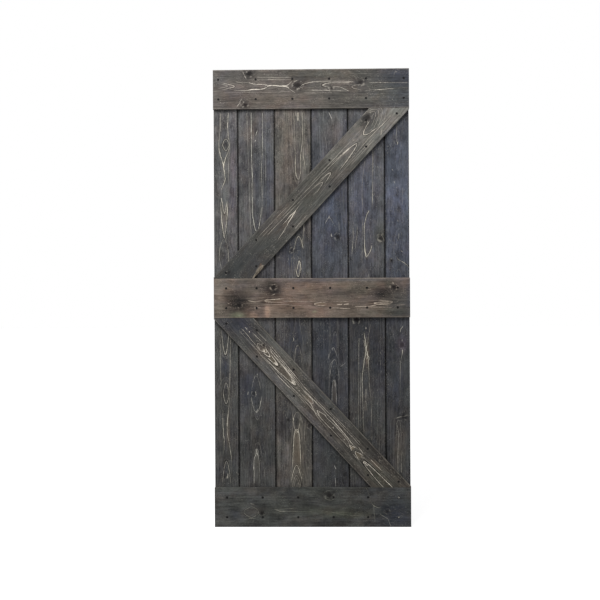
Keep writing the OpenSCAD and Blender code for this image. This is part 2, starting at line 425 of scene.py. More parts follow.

# %% [markdown]
# ### The planks
# The six planks run the door's full height behind the rails, and each came from another part
# of the log: some show a run of ovals, some a single hairpin, some hardly a line. The two
# edge planks were ripped narrow. Copies of one plank would be quicker, but the eye finds a
# repeat at once, so each has its own list. Their feet are darker and browner than their tops,
# partly in the stain and partly as painted shade, for the light that falls off towards the foot
# of the door. The right-hand ones turn blue.

# %% The left edge plank
BOARDS = {}
BOARDS["plank_left_edge"] = dict(
    heart=-404, ring=8.0, seed=1, ground=(0.055, 0.055, 0.058), second=(0.120, 0.118, 0.115),
    grain=(0.60, 0.56, 0.47),
    pith=[(0, 30), (150, 42), (305, 50), (400, 46), (520, 48), (580, 52), (640, 44), (670, 50),
          (740, 58), (810, 52), (920, 40), (1060, 48), (1160, 56), (1260, 44), (1335, 52),
          (1595, 41), (1680, 35), (1790, 28), (2134, 24)],
    knots=[(1788, -398, 9, 0.35), (625, -402, 7, 0.2), (235, -412, 9, 0.4)],
    arches=[(304, -403, -110, 20, 2.0, 0.7, 0), (575, -403, 60, 15, 2.0, 0.65, 0),
            (672, -403, -60, 14, 2.0, 0.5, 0), (803, -406, 120, 19, 1.8, 1.0, 0),
            (1352, -408, 170, 18, 1.6, 1.1, 0.08), (1465, -407, 60, 12, 1.6, 0.8, 0),
            (1760, -399, 30, 17, 2.0, 0.6, 0), (1812, -399, -32, 17, 2.0, 0.7, 0)],
    strands=[[(300, -377, 0), (330, -381, 0.6), (380, -388, 0.6), (450, -399, 1.0), (510, -396, 0.9),
              (560, -390, 0.6), (620, -387, 0.5), (760, -384, 0.6), (880, -381, 0.5), (930, -381, 0)],
             [(330, -418, 0), (370, -414, 0.7), (400, -413, 1.1), (440, -416, 0.8), (500, -419, 0.7),
              (560, -417, 0)],
             [(540, -424, 0), (650, -427, 0.35), (900, -431, 0.35), (970, -432, 0)],
             [(1180, -418, 0), (1215, -424, 0.5), (1250, -431, 0.7), (1300, -429, 0.6),
              (1330, -420, 0.4), (1348, -411, 0.6)],
             [(1230, -391, 0), (1270, -389, 0.8), (1310, -394, 0.4), (1350, -406, 0.6)],
             [(1575, -420, 0), (1590, -416, 1.1), (1604, -409, 1.2), (1622, -404, 1.3),
              (1650, -406, 1.2), (1690, -411, 1.5), (1715, -418, 1.0), (1740, -426, 0.9),
              (1765, -431, 0.8), (1850, -428, 0.3), (1934, -426, 0.2)],
             [(1650, -401, 0), (1690, -409, 1.2), (1712, -404, 1.1), (1735, -396, 1.0),
              (1752, -388, 0.8), (1790, -381, 0.4), (1830, -388, 0.9), (1934, -387, 0.8)],
             [(1590, -388, 0), (1650, -387, 0.5), (1730, -384, 0.4), (1770, -381, 0)]],
    threads=[(225, -397, 246, -397, 1.0), (1512, -417, 1536, -421, 1.4),
             (1850, -424, 1934, -424, 0.45)],
    # The first tint, a large dark oval low on the plank, is partly painted shade for light that falls
    # off towards the foot.
    tints=[(480, -404, 480, 120, (0.036, 0.036, 0.035), 0.7),
           (1650, -366, 320, 18, PLUM, 0.6), (740, -405, 60, 20, SLATE, 0.6),
           (450, -394, 60, 10, UMBER, 0.5)],
)

# %% The second plank
BOARDS["plank_2"] = dict(
    heart=-257, ring=8.4, seed=2, ground=(0.044, 0.044, 0.049), second=(0.100, 0.096, 0.094),
    grain=(0.52, 0.50, 0.44),
    pith=[(0, 38), (200, 45), (360, 56), (450, 60), (535, 56), (620, 50), (690, 56), (800, 58),
          (975, 56), (1150, 53), (1380, 50), (1650, 47), (1935, 43), (2134, 41)],
    knots=[(620, -272, 9, 0.5), (1760, -255, 7, 0.15)],
    arches=[(362, -261, -170, 15, 3.2, 0.5, 0.4), (533, -261, 80, 26, 2.0, 0.75, 0),
            (704, -262, -70, 22, 2.0, 0.4, 0), (1380, -256, 110, 22, 2.2, 1.0, 0)],
    strands=[[(1440, -234, 0), (1480, -231, 0.6), (1560, -230, 0.7), (1640, -232, 0.9),
              (1700, -231, 0.7), (1760, -228, 0.8), (1850, -227, 0.6), (1935, -226, 0.6)],
             [(1440, -275, 0.8), (1500, -276, 0.9), (1600, -277, 0.8), (1640, -275, 1.2),
              (1660, -277, 0.8), (1760, -279, 0.9), (1935, -279, 0.9)],
             [(1340, -276, 0.5), (1400, -283, 0.5), (1500, -288, 0.4), (1620, -290, 0.3),
              (1700, -293, 0.3), (1800, -297, 0.4), (1935, -300, 0.5)],
             [(200, -250, 0.2), (280, -248, 0.3), (330, -255, 0.8), (345, -261, 1.2),
             (364, -260, 0.8)],
             [(200, -274, 0.5), (240, -273, 0.8), (320, -273, 1.0), (332, -266, 1.0),
             (346, -261, 0.6)],
             [(380, -290, 0), (500, -287, 0.3), (620, -286, 0.2), (640, -286, 0)],
             [(1450, -208, 0), (1550, -212, 0.25), (1700, -214, 0.4), (1850, -212, 0.3),
              (1935, -210, 0.2)]],
    threads=[(530, -262, 548, -256, 1.3), (612, -262, 630, -266, 1.4), (619, -284, 632, -282, 1.1),
             (615, -302, 630, -299, 0.7), (706, -257, 713, -257, 1.1), (1830, -258, 1852, -252, 1.4),
             (1800, -262, 1808, -260, 1.0)],
    # The first tint, a large dark oval low on the plank, is partly painted shade for light that falls
    # off towards the foot.
    tints=[(400, -257, 400, 140, (0.041, 0.041, 0.038), 0.6),
           (1560, -205, 400, 26, COLD, 0.6), (1600, -255, 200, 16, SLATE, 0.5),
           (640, -300, 90, 60, SLATE, 0.8), (1380, -320, 90, 40, SMOKE, 0.4),
           (1850, -280, 60, 30, UMBER, 0.4)],
    fill=(0.20, 0.19, 0.155),
    calm=[(650, -300, 100, 70, 0.6)],
)

# %% The third plank
BOARDS["plank_3"] = dict(
    heart=-68, ring=8.2, seed=3, ground=(0.056, 0.053, 0.052), second=(0.122, 0.113, 0.102),
    grain=(0.60, 0.55, 0.45),
    pith=[(0, 28), (215, 42), (280, 49), (380, 54), (445, 52), (540, 48), (600, 44), (700, 40),
          (845, 49), (975, 56), (1100, 50), (1205, 40), (1350, 49), (1480, 55), (1620, 49),
          (1900, 34), (2134, 30)],
    knots=[(1290, -95, 8, 0.6), (498, -112, 9, 0.7), (875, -75, 6, 0.3), (470, -15, 9, 0.4)],
    arches=[(238, -75, -80, 24, 2.0, 0.45, 0), (222, -75, -60, 15, 2.0, 0.4, 0),
            (286, -75, -80, 26, 1.7, 1.0, 0), (452, -74, -190, 20, 3.6, 0.9, 0.16),
            (436, -74, 100, 20, 2.2, 0.6, 0), (533, -70, -60, 26, 2.0, 0.4, 0),
            (845, -66, -90, 18, 2.6, 0.4, 0), (1166, -63, 44, 11, 2.0, 0.9, 0),
            (1240, -58, -44, 10, 1.6, 0.9, 0), (1354, -60, -60, 22, 1.9, 0.75, 0),
            (1621, -61, 44, 12, 2.2, 0.7, 0)],
    strands=[[(1640, -52, 0), (1665, -49, 0.6), (1700, -51, 0.7), (1740, -48, 0.6), (1790, -42, 0.5),
              (1850, -40, 0.5), (1934, -41, 0.5)],
             [(1660, -28, 0), (1690, -30, 0.6), (1730, -36, 0.6), (1770, -34, 0.4), (1850, -30, 0.3),
              (1934, -30, 0.2)],
             [(290, -42, 0), (380, -40, 0.35), (480, -34, 0.3), (500, -33, 0)],
             [(1060, -83, 0), (1150, -82, 0.3), (1290, -84, 0.3), (1310, -84, 0)],
             [(1635, -70, 0.8), (1660, -73, 0.8), (1720, -74, 0.6), (1790, -76, 0.5),
             (1934, -80, 0.3)]],
    threads=[(436, -62, 450, -80, 1.3), (494, -88, 508, -88, 1.2), (866, -86, 881, -87, 0.9),
             (1288, -86, 1302, -80, 1.1), (1325, -42, 1400, -36, 0.4), (1380, -34, 1420, -36, 0.6),
             (1896, -61, 1934, -60, 1.6), (600, -35, 660, -40, 0.4)],
    tints=[(1280, -80, 120, 90, (0.044, 0.049, 0.066), 0.75),
           (250, -75, 200, 80, (0.072, 0.061, 0.051), 0.5),
           (1780, -105, 240, 44, UMBER, 0.4), (350, -62, 130, 30, UMBER, 0.4),
           (250, -120, 160, 60, SMOKE, 0.35), (880, -80, 150, 90, (0.030, 0.033, 0.044), 0.85),
           (1300, -120, 110, 60, SLATE, 0.6), (500, -120, 60, 40, SLATE, 0.6)],
)

# %% The fourth plank
BOARDS["plank_4"] = dict(
    heart=103, ring=8.4, seed=4, ground=(0.044, 0.045, 0.052), second=(0.092, 0.091, 0.096),
    grain=(0.50, 0.48, 0.44), fine=0.8,
    pith=[(0, 50), (210, 42), (290, 36), (400, 30), (580, 25), (680, 35), (780, 48), (835, 56),
          (900, 58), (1000, 50), (1200, 42), (1360, 48), (1440, 56), (1560, 60), (1900, 50),
          (2134, 45)],
    knots=[(1352, 122, 11, 0.7), (745, 130, 7, 0.2), (290, 104, 7, 0.3), (245, 145, 10, 0.4)],
    arches=[(684, 102, -120, 11, 4.0, 0.75, 0.12), (778, 104, -95, 24, 2.0, 0.5, 0),
            (836, 98, -55, 22, 1.5, 0.55, 0), (910, 108, -60, 14, 1.6, 0.3, 0),
            (1446, 83, -34, 20, 1.2, 0.8, 0)],
    strands=[[(690, 82, 0), (720, 83, 0.5), (748, 84, 0.5), (770, 94, 0.6), (780, 104, 0.3)],
             [(1690, 78, 0), (1760, 74, 0.3), (1860, 60, 0.3), (1880, 58, 0)]],
    threads=[(185, 107, 226, 106, 0.7), (268, 108, 286, 101, 1.6), (655, 104, 682, 104, 1.0),
             (745, 131, 762, 155, 0.7), (820, 97, 834, 96, 1.1), (780, 76, 806, 78, 0.6),
             (1352, 94, 1366, 92, 1.5), (1436, 82, 1452, 83, 1.2), (1904, 97, 1934, 84, 1.3),
             (1380, 130, 1420, 128, 0.3)],
    # The first tint, a large dark oval low on the plank, is partly painted shade for light that falls
    # off towards the foot.
    tints=[(350, 100, 330, 140, (0.036, 0.037, 0.034), 0.75),
           (830, 100, 260, 100, (0.028, 0.030, 0.037), 0.8),
           (1875, 72, 120, 60, SMOKE, 0.5), (1820, 110, 80, 20, UMBER, 0.5),
           (1450, 90, 260, 90, (0.061, 0.069, 0.098), 0.78), (840, 60, 90, 50, SLATE, 0.5),
           (500, 90, 200, 90, SLATE, 0.35), (1320, 110, 30, 26, PITCH, 0.4)],
    calm=[(430, 100, 300, 100, 0.6), (1300, 100, 150, 90, 0.4), (880, 100, 180, 60, 0.9)],
)

# %% The fifth plank
BOARDS["plank_5"] = dict(
    heart=256, ring=8.0, seed=5, ground=(0.043, 0.043, 0.047), second=(0.096, 0.093, 0.090),
    grain=(0.60, 0.56, 0.47),
    pith=[(0, 62), (200, 60), (400, 56), (580, 50), (700, 47), (795, 50), (840, 49), (900, 47),
          (1050, 50), (1180, 54), (1260, 49), (1400, 45), (1500, 43), (1800, 36), (2134, 30)],
    knots=[(1347, 322, 12, 0.8), (962, 206, 12, 1.0)],
    arches=[(584, 248, -50, 8, 2.5, 0.3, 0.3), (1362, 322, -34, 17, 2.0, 0.6, 0)],
    strands=[[(420, 239, 0), (500, 237, 0.45), (560, 236, 0.6), (640, 234, 0.8), (700, 234, 1.0),
              (730, 238, 1.0), (770, 243, 1.2), (806, 250, 1.3), (830, 251, 1.0), (862, 250, 1.0),
              (885, 245, 1.2), (905, 243, 0.5)],
             [(400, 277, 0.3), (500, 276, 0.35), (600, 273, 0.3), (650, 267, 0.4), (700, 265, 0.4),
              (740, 264, 0.5), (770, 262, 0.7), (786, 265, 1.0), (800, 257, 1.4), (812, 259, 0.9),
              (824, 252, 1.4), (850, 259, 0.5), (890, 264, 0.4), (930, 271, 0.3), (945, 272, 0)],
             [(430, 214, 0), (520, 215, 0.4), (700, 217, 0.3), (860, 219, 0.4), (880, 219, 0)],
             [(440, 224, 0), (560, 225, 0.3), (700, 227, 0.3), (720, 227, 0)],
             [(1256, 255, 1.2), (1275, 251, 1.4), (1300, 248, 1.3), (1360, 247, 1.1),
             (1400, 247, 1.0),
              (1425, 251, 0.9), (1450, 258, 1.1), (1474, 269, 0.9)],
             [(1256, 257, 1.2), (1268, 264, 1.3), (1280, 272, 1.0), (1300, 279, 0.8), (1312, 281, 0)],
             [(1190, 236, 0), (1300, 236, 0.35), (1450, 240, 0.3), (1600, 238, 0.3), (1700, 250, 0.3),
              (1760, 256, 0)],
             [(1290, 203, 0), (1320, 206, 0.5), (1370, 213, 0.5), (1420, 212, 0)],
             [(1265, 188, 0), (1290, 190, 0.6), (1335, 194, 0.6), (1400, 194, 0.3), (1420, 194, 0)],
             [(1470, 286, 0), (1530, 286, 0.9), (1545, 287, 1.1), (1580, 287, 0.5), (1700, 288, 0.6),
              (1770, 289, 0.3)]],
    threads=[(920, 252, 930, 252, 1.3), (838, 246, 868, 243, 0.8), (778, 256, 800, 261, 1.0),
             (598, 250, 640, 251, 0.8), (1160, 267, 1176, 267, 1.0)],
    # The first tint, a large dark oval low on the plank, is partly painted shade for light that falls
    # off towards the foot.
    tints=[(450, 256, 300, 140, (0.038, 0.038, 0.034), 0.6),
           (860, 256, 260, 120, (0.024, 0.0255, 0.031), 0.85),
           (1550, 256, 300, 120, (0.069, 0.075, 0.104), 0.7),
           (1360, 330, 60, 30, MOSS, 0.6), (700, 320, 180, 36, SLATE, 0.4),
           (1600, 320, 200, 40, SMOKE, 0.35), (1250, 200, 90, 50, SLATE, 0.5),
           (800, 257, 50, 9, (0.15, 0.105, 0.075), 0.7), (600, 250, 34, 8, SMOKE, 0.8)],
)

# %% The right edge plank
BOARDS["plank_right_edge"] = dict(
    heart=404, ring=8.4, seed=6, ground=(0.044, 0.046, 0.055), second=(0.090, 0.092, 0.101),
    grain=(0.52, 0.49, 0.42),
    pith=[(0, 50), (275, 42), (445, 42), (510, 46), (600, 50), (775, 58), (850, 56), (935, 49),
          (1100, 46), (1240, 52), (1500, 60), (1790, 56), (2134, 50)],
    knots=[(1240, 372, 5, 1.0), (512, 425, 14, 0.6), (845, 420, 10, 0.5), (1425, 388, 9, 0.3)],
    arches=[(495, 402, -120, 14, 3.0, 0.3, 0)],
    strands=[[(250, 398, 0.6), (330, 398, 0.6), (400, 401, 0.5), (440, 401, 0.6), (480, 392, 0.3),
              (490, 388, 0)],
             [(250, 414, 0.5), (300, 414, 0.45), (340, 417, 0.3), (360, 418, 0)],
             [(540, 408, 0), (640, 410, 0.25), (730, 411, 0.4), (780, 415, 0.4), (808, 421, 0.8),
              (815, 422, 1.3), (824, 422, 0)],
             [(1208, 452, 0.8), (1220, 441, 1.2), (1232, 425, 1.1), (1242, 408, 0.7),
             (1256, 398, 0.4)],
             [(1780, 402, 0), (1790, 403, 1.2), (1800, 399, 0.5), (1850, 400, 0.5), (1900, 404, 0)]],
    threads=[(505, 392, 516, 440, 1.0), (864, 420, 872, 420, 1.7), (904, 411, 922, 414, 0.8),
             (920, 415, 932, 424, 0.9), (1278, 424, 1284, 418, 1.0), (1420, 404, 1430, 402, 1.1),
             (1340, 407, 1366, 408, 0.5), (1500, 424, 1580, 426, 0.3), (1600, 390, 1610, 386, 0.9),
             (1660, 380, 1666, 378, 1.0)],
    # The first tint, a large dark oval low on the plank, is partly painted shade for light that falls
    # off towards the foot.
    tints=[(450, 404, 330, 120, (0.035, 0.035, 0.030), 0.7),
           (850, 404, 240, 100, (0.032, 0.033, 0.033), 0.65),
           (1500, 404, 330, 120, (0.090, 0.101, 0.134), 0.78),
           (845, 420, 34, 24, PLUM, 0.9), (360, 405, 120, 26, UMBER, 0.4),
           (640, 395, 180, 40, SLATE, 0.5), (1700, 400, 120, 60, COLD, 0.4)],
    calm=[(640, 404, 200, 60, 0.5)],
)

# %% [markdown]
# ### The rails
# The rails lie across the planks, so their figure runs level. The top one has a forked line
# between its knots, the middle one is much browner, with sooty clouds where the stain was
# wiped on twice, and the bottom one is the darkest, almost without figure. Their tones could
# come from a light on each. The difference is partly in the stain and partly painted shade,
# since the light falls off towards the foot of the door, and both are in their lists.

# %% The top rail
BOARDS["top_rail"] = dict(
    heart=2054, ring=8.4, seed=7, ground=(0.060, 0.055, 0.051), second=(0.112, 0.099, 0.090),
    grain=(0.66, 0.60, 0.52),
    pith=[(-457, 34), (-400, 37), (-315, 42), (-190, 49), (-100, 52), (0, 54), (100, 54),
          (200, 52), (300, 50), (457, 48)],
    knots=[(-62, 2058, 15, 0.8), (96, 2046, 9, 0.7), (232, 2068, 12, 0.7), (-285, 2114, 11, 0.9),
           (-308, 1970, 11, 0.9)],
    arches=[(-357, 2056, -60, 16, 1.6, 0.7, 0), (-388, 2058, -50, 12, 1.6, 0.4, 0),
            (56, 2058, 60, 13, 2.0, 0.9, 0), (190, 2048, 50, 14, 2.0, 0.5, 0)],
    strands=[[(-360, 2036, 0), (-345, 2036, 0.8), (-300, 2037, 0.9), (-270, 2041, 1.3),
              (-230, 2042, 1.3), (-212, 2047, 1.2), (-196, 2055, 1.3), (-170, 2059, 1.2),
              (-150, 2055, 1.3), (-125, 2054, 1.4), (-108, 2050, 1.6), (-98, 2040, 1.0),
              (-80, 2028, 0.8), (-72, 2024, 0)],
             [(-350, 2078, 0), (-320, 2073, 0.8), (-290, 2072, 0.8), (-270, 2067, 1.3),
              (-230, 2064, 1.2), (-190, 2059, 1.2), (-160, 2057, 1.3), (-130, 2056, 1.3),
              (-112, 2058, 1.5), (-100, 2066, 1.4), (-88, 2077, 0.8)],
             [(-46, 2056, 0), (-40, 2059, 1.3), (-16, 2068, 1.2), (0, 2072, 0.8), (40, 2075, 0.6),
              (110, 2076, 0.6), (190, 2073, 0.6), (200, 2072, 0)],
             [(-20, 2037, 0), (0, 2036, 0.5), (40, 2034, 0.6), (75, 2034, 0.8), (90, 2031, 0.9),
              (120, 2033, 0.6), (145, 2030, 0.5), (150, 2030, 0)],
             [(-50, 2022, 0), (0, 2022, 0.45), (92, 2022, 0.5), (100, 2022, 0)],
             [(90, 2050, 0), (110, 2050, 0.6), (136, 2048, 0.6), (155, 2040, 0.7), (172, 2032, 0.6),
              (178, 2030, 0)],
             [(-340, 2087, 0), (-250, 2087, 0.3), (-100, 2086, 0.35), (-90, 2086, 0)],
             [(-410, 2028, 0), (-300, 2027, 0.4), (-200, 2026, 0.3), (-110, 2029, 0.4),
             (-95, 2028, 0)],
             [(270, 2067, 0), (290, 2068, 0.6), (345, 2068, 0.6), (400, 2066, 0.4), (450, 2066, 0.4)],
             [(250, 2030, 0), (280, 2033, 0.6), (330, 2035, 0.9), (350, 2037, 0.7), (400, 2040, 0.4),
              (450, 2042, 0.3)]],
    threads=[(-76, 2078, -62, 2080, 1.3), (-68, 2041, -52, 2043, 1.0), (90, 2069, 180, 2068, 0.7),
             (-318, 2122, -302, 2092, 0.9), (-332, 1982, -322, 1996, 0.7),
             (-346, 1962, -326, 1984, 1.1), (388, 2100, 394, 2132, 0.35),
             (-250, 2096, -90, 2094, 0.3)],
    tints=[(-200, 2000, 260, 40, (0.118, 0.092, 0.078), 0.4),
           (-260, 2060, 150, 60, (0.11, 0.09, 0.082), 0.4),
           (430, 2040, 120, 120, (0.050, 0.059, 0.083), 0.8),
           (420, 2090, 110, 70, SLATE, 0.8), (330, 2020, 160, 60, MOSS, 0.5),
           (30, 2110, 190, 26, MOSS, 0.65), (-200, 1985, 160, 34, UMBER, 0.35),
           (-300, 2100, 22, 26, PITCH, 0.5), (-420, 2100, 60, 40, SMOKE, 0.6)],
    worn_and_highlight=0.18,
    patchy=0.5,
)

# %% The middle rail
BOARDS["middle_rail"] = dict(
    heart=1042, ring=8.0, seed=8, ground=(0.082, 0.066, 0.056), second=(0.172, 0.136, 0.113),
    grain=(0.68, 0.57, 0.46),
    pith=[(-457, 45), (-345, 50), (-215, 49), (-150, 44), (-90, 49), (-30, 52), (15, 49),
          (45, 46), (80, 49), (140, 52), (220, 53), (300, 49), (335, 45), (370, 49), (457, 52)],
    knots=[(-338, 1034, 9, 0.9), (-178, 1118, 11, 0.9), (382, 1114, 13, 0.9)],
    arches=[(-218, 1054, 90, 9, 2.8, 0.9, 0.12), (12, 1038, 56, 9, 2.6, 0.8, 0.25),
            (292, 1040, 80, 8, 2.4, 0.9, 0.14), (374, 1046, -70, 9, 2.6, 0.6, 0.1)],
    strands=[[(-135, 1053, 0.6), (-60, 1051, 0.5), (20, 1048, 0.4), (100, 1048, 0.6),
             (170, 1048, 0.6),
              (200, 1047, 0)],
             [(-290, 1034, 0), (-240, 1034, 0.4), (-200, 1036, 0.5), (-150, 1037, 0.4),
              (-60, 1031, 0.4), (0, 1029, 0.5), (35, 1025, 0.5), (50, 1024, 0)],
             [(90, 1020, 0), (110, 1020, 0.8), (140, 1018, 0.8), (172, 1016, 0.7), (180, 1016, 0)],
             [(200, 1026, 0), (215, 1026, 0.8), (262, 1026, 0.7), (285, 1029, 0.8), (300, 1030, 0)],
             [(-300, 1056, 0), (-285, 1053, 0.8), (-262, 1050, 0.6), (-240, 1054, 0.3),
              (-225, 1056, 0)]],
    threads=[(115, 1036, 140, 1036, 1.6), (150, 1036, 172, 1038, 1.4), (262, 1022, 372, 1022, 0.5),
             (-266, 1022, -238, 1022, 0.7), (-188, 1080, -170, 1086, 0.7),
             (-186, 1128, -168, 1132, 1.0), (376, 1138, 384, 1128, 1.1), (384, 1128, 396, 1116, 0.9),
             (396, 1030, 430, 1034, 0.5), (-392, 1044, -384, 1040, 0.7), (260, 1104, 276, 1104, 0.8),
             (214, 1066, 224, 1066, 0.5)],
    tints=[(-100, 1030, 220, 40, (0.17, 0.108, 0.080), 0.6),
           (0, 1120, 150, 26, (0.17, 0.115, 0.082), 0.6),
           (-300, 1066, 120, 60, (0.120, 0.096, 0.080), 0.4),
           (-430, 1060, 28, 90, (0.185, 0.158, 0.130), 0.7),
           (-348, 1050, 60, 58, PITCH, 1.0),
           (-300, 1040, 70, 34, PITCH, 0.25), (-207, 1010, 12, 36, (0.30, 0.205, 0.150), 0.9),
           (-276, 988, 24, 16, (0.26, 0.185, 0.140), 0.85),
           (-346, 986, 32, 14, (0.175, 0.180, 0.125), 0.9),
           (-420, 1130, 60, 24, (0.160, 0.138, 0.105), 0.5),
           (90, 1095, 46, 24, (0.105, 0.072, 0.070), 0.6), (140, 1090, 60, 20, (0.085, 0.075, 0.066),
           0.5),
           (230, 1104, 70, 40, (0.090, 0.080, 0.064), 0.6),
           (326, 1124, 22, 16, (0.175, 0.125, 0.098), 0.7), (356, 1134, 16, 22, MOSS, 0.7),
           (390, 996, 56, 26, (0.062, 0.066, 0.054), 0.8), (12, 1002, 10, 7, (0.21, 0.185, 0.125),
           0.8),
           (120, 1152, 300, 10, (0.100, 0.100, 0.112), 0.6), (452, 1066, 16, 100, COLD, 0.6),
           (-150, 1150, 50, 12, (0.19, 0.15, 0.14), 0.5),
           (420, 1040, 60, 60, SLATE, 0.6), (330, 1082, 50, 34, PITCH, 1.0),
           (400, 1050, 60, 50, (0.058, 0.056, 0.052), 0.6),
           (-180, 1100, 38, 38, PITCH, 0.95), (330, 1000, 110, 20, MOSS, 0.5),
           (-330, 1130, 130, 20, SMOKE, 0.3)],
    worn_and_highlight=0.16,
    patchy=0.75,
    calm=[(0, 1066, 900, 300, 0.4)],
)

# %% The bottom rail
BOARDS["bottom_rail"] = dict(
    # Its dark ground is partly painted shade, for light that falls off towards the foot of the door.
    heart=75, ring=9.4, seed=9, ground=(0.040, 0.041, 0.039), second=(0.072, 0.072, 0.067),
    grain=(0.36, 0.35, 0.29),
    pith=[(-457, 56), (-285, 50), (-160, 46), (0, 52), (120, 60), (245, 56), (457, 44)],
    knots=[(-238, 66, 9, 0.8), (76, 150, 14, 0.7), (346, 72, 9, 0.5)],
    arches=[(-320, 70, 40, 28, 2.0, 0.5, 0), (-252, 70, -40, 28, 2.0, 0.5, 0),
            (48, 152, 40, 22, 2.0, 0.35, 0), (-170, 80, 120, 10, 2.0, 0.4, 0)],
    strands=[[(-180, 84, 0), (-165, 78, 1.0), (-142, 72, 1.0), (-120, 74, 0.3), (-60, 72, 0.3),
              (60, 70, 0.3), (160, 70, 0.25), (170, 70, 0)],
             [(246, 186, 0.7), (262, 150, 0.7), (270, 120, 0.7), (290, 96, 0.7), (316, 90, 0.5)],
             [(48, 146, 0), (56, 134, 0.5), (72, 126, 0.6), (92, 128, 0.6), (104, 140, 0.4),
             (108, 152, 0)],
             [(60, 150, 0), (66, 142, 0.7), (78, 138, 0.8), (90, 144, 0.6), (94, 152, 0)],
             [(-10, 84, 0), (60, 74, 0.3), (160, 56, 0.35), (230, 52, 0.3), (240, 52, 0)]],
    threads=[(284, 94, 288, 40, 0.8), (312, 62, 350, 36, 0.6), (350, 36, 362, 4, 0.6),
             (-300, 42, -268, 41, 0.9), (-234, 74, -228, 58, 0.7), (-290, 110, -270, 104, 0.6),
             (56, 136, 66, 132, 0.9)],
    tints=[(-400, 90, 260, 120, (0.083, 0.083, 0.080), 0.7),
           (40, 78, 190, 20, MOSS, 0.45), (340, 76, 40, 30, PITCH, 0.7),
           (-360, 60, 30, 24, SLATE, 0.6),
           (390, 60, 90, 90, (0.033, 0.037, 0.048), 0.8), (80, 130, 30, 30, PITCH, 0.4),
           (160, 60, 110, 16, (0.072, 0.075, 0.054), 0.6),
           (-240, 100, 30, 20, PITCH, 0.4)],
    worn_and_highlight=0.05,
    calm=[(0, 90, 600, 120, 0.55)],
)

# %% [markdown]
# ### The braces
# The braces keep the leaf square. The upper one is calm at its foot, where the stain lay
# thick, with open hairpins above and a knot at its head. The lower one has the closest and
# brightest grain on the door, so its lines are drawn finer than the rest. A brace could be
# described upright and turned afterwards, and that is what its own axes do.

# %% The upper brace
BOARDS["upper_brace"] = dict(
    heart=-67, ring=8.0, seed=10, ground=(0.050, 0.047, 0.042), second=(0.108, 0.101, 0.091),
    grain=(0.66, 0.60, 0.51),
    pith=[(0, 40), (200, 46), (363, 42), (470, 40), (600, 36), (673, 39), (795, 43), (916, 49),
          (1045, 56), (1260, 60)],
    knots=[(1036, -20, 18, 0.7), (66, -34, 9, 0.5)],
    arches=[(674, -70, -60, 14, 1.8, 0.5, 0), (732, -68, -60, 14, 1.8, 0.7, 0),
            (914, -67, -150, 25, 1.8, 0.9, 0), (966, -62, 70, 24, 2.0, 1.1, 0),
            (1078, -28, -60, 34, 2.0, 0.55, 0), (1094, -32, -80, 46, 2.0, 0.5, 0),
            (1112, -36, -100, 58, 2.0, 0.45, 0), (1132, -40, -120, 70, 2.0, 0.35, 0)],
    strands=[[(330, -99, 0), (360, -95, 0.8), (400, -88, 0.8), (425, -81, 1.2), (455, -76, 1.2),
              (482, -70, 1.3), (490, -68, 0)],
             [(395, -66, 0), (420, -67, 0.8), (450, -65, 1.1), (484, -67, 1.0), (520, -64, 0.5),
              (550, -62, 0)],
             [(320, -47, 0), (360, -48, 0.6), (450, -50, 0.5), (560, -54, 0.4), (700, -62, 0.4),
              (720, -64, 0)],
             [(300, -36, 0.2), (400, -38, 0.3), (620, -42, 0.4), (700, -45, 0.5), (780, -49, 0.8),
              (860, -55, 0.9), (905, -61, 1.0), (914, -66, 0.6)],
             [(620, -33, 0.2), (760, -36, 0.4), (900, -37, 0.4), (960, -37, 0.3), (980, -36, 0)],
             [(760, -97, 0), (840, -96, 0.5), (960, -92, 0.6), (1040, -93, 0.7), (1090, -95, 0.6),
              (1120, -94, 0)],
             [(790, -105, 0), (880, -105, 0.4), (1000, -104, 0.4), (1010, -104, 0)],
             [(820, -113, 0), (880, -114, 0.35), (960, -113, 0.3), (980, -113, 0)],
             [(270, -22, 0), (330, -23, 0.4), (460, -26, 0.35), (480, -27, 0)]],
    threads=[(1018, -122, 1042, -108, 0.7), (430, -122, 510, -120, 0.45), (1052, -34, 1070, -30, 0.9),
             (270, -30, 276, -22, 0.8), (600, -80, 660, -78, 0.3)],
    tints=[(1130, -60, 300, 140, (0.185, 0.178, 0.164), 0.75),
           (1016, -34, 34, 30, PITCH, 0.7), (90, -60, 260, 120, (0.042, 0.0435, 0.044), 1.0),
           (300, -100, 110, 34, (0.046, 0.046, 0.045), 0.7), (420, -74, 60, 10, UMBER, 0.6),
           (450, -30, 160, 20, UMBER, 0.3), (620, -110, 80, 24, (0.055, 0.056, 0.056), 0.5),
           (560, -66, 150, 60, (0.050, 0.050, 0.045), 0.6)],
    worn_and_highlight=0.06,
    patchy=0.5,
    calm=[(90, -70, 260, 120, 1.0), (1020, -20, 50, 40, 0.5)],
    torn=(118, 202, 2, 24),
)

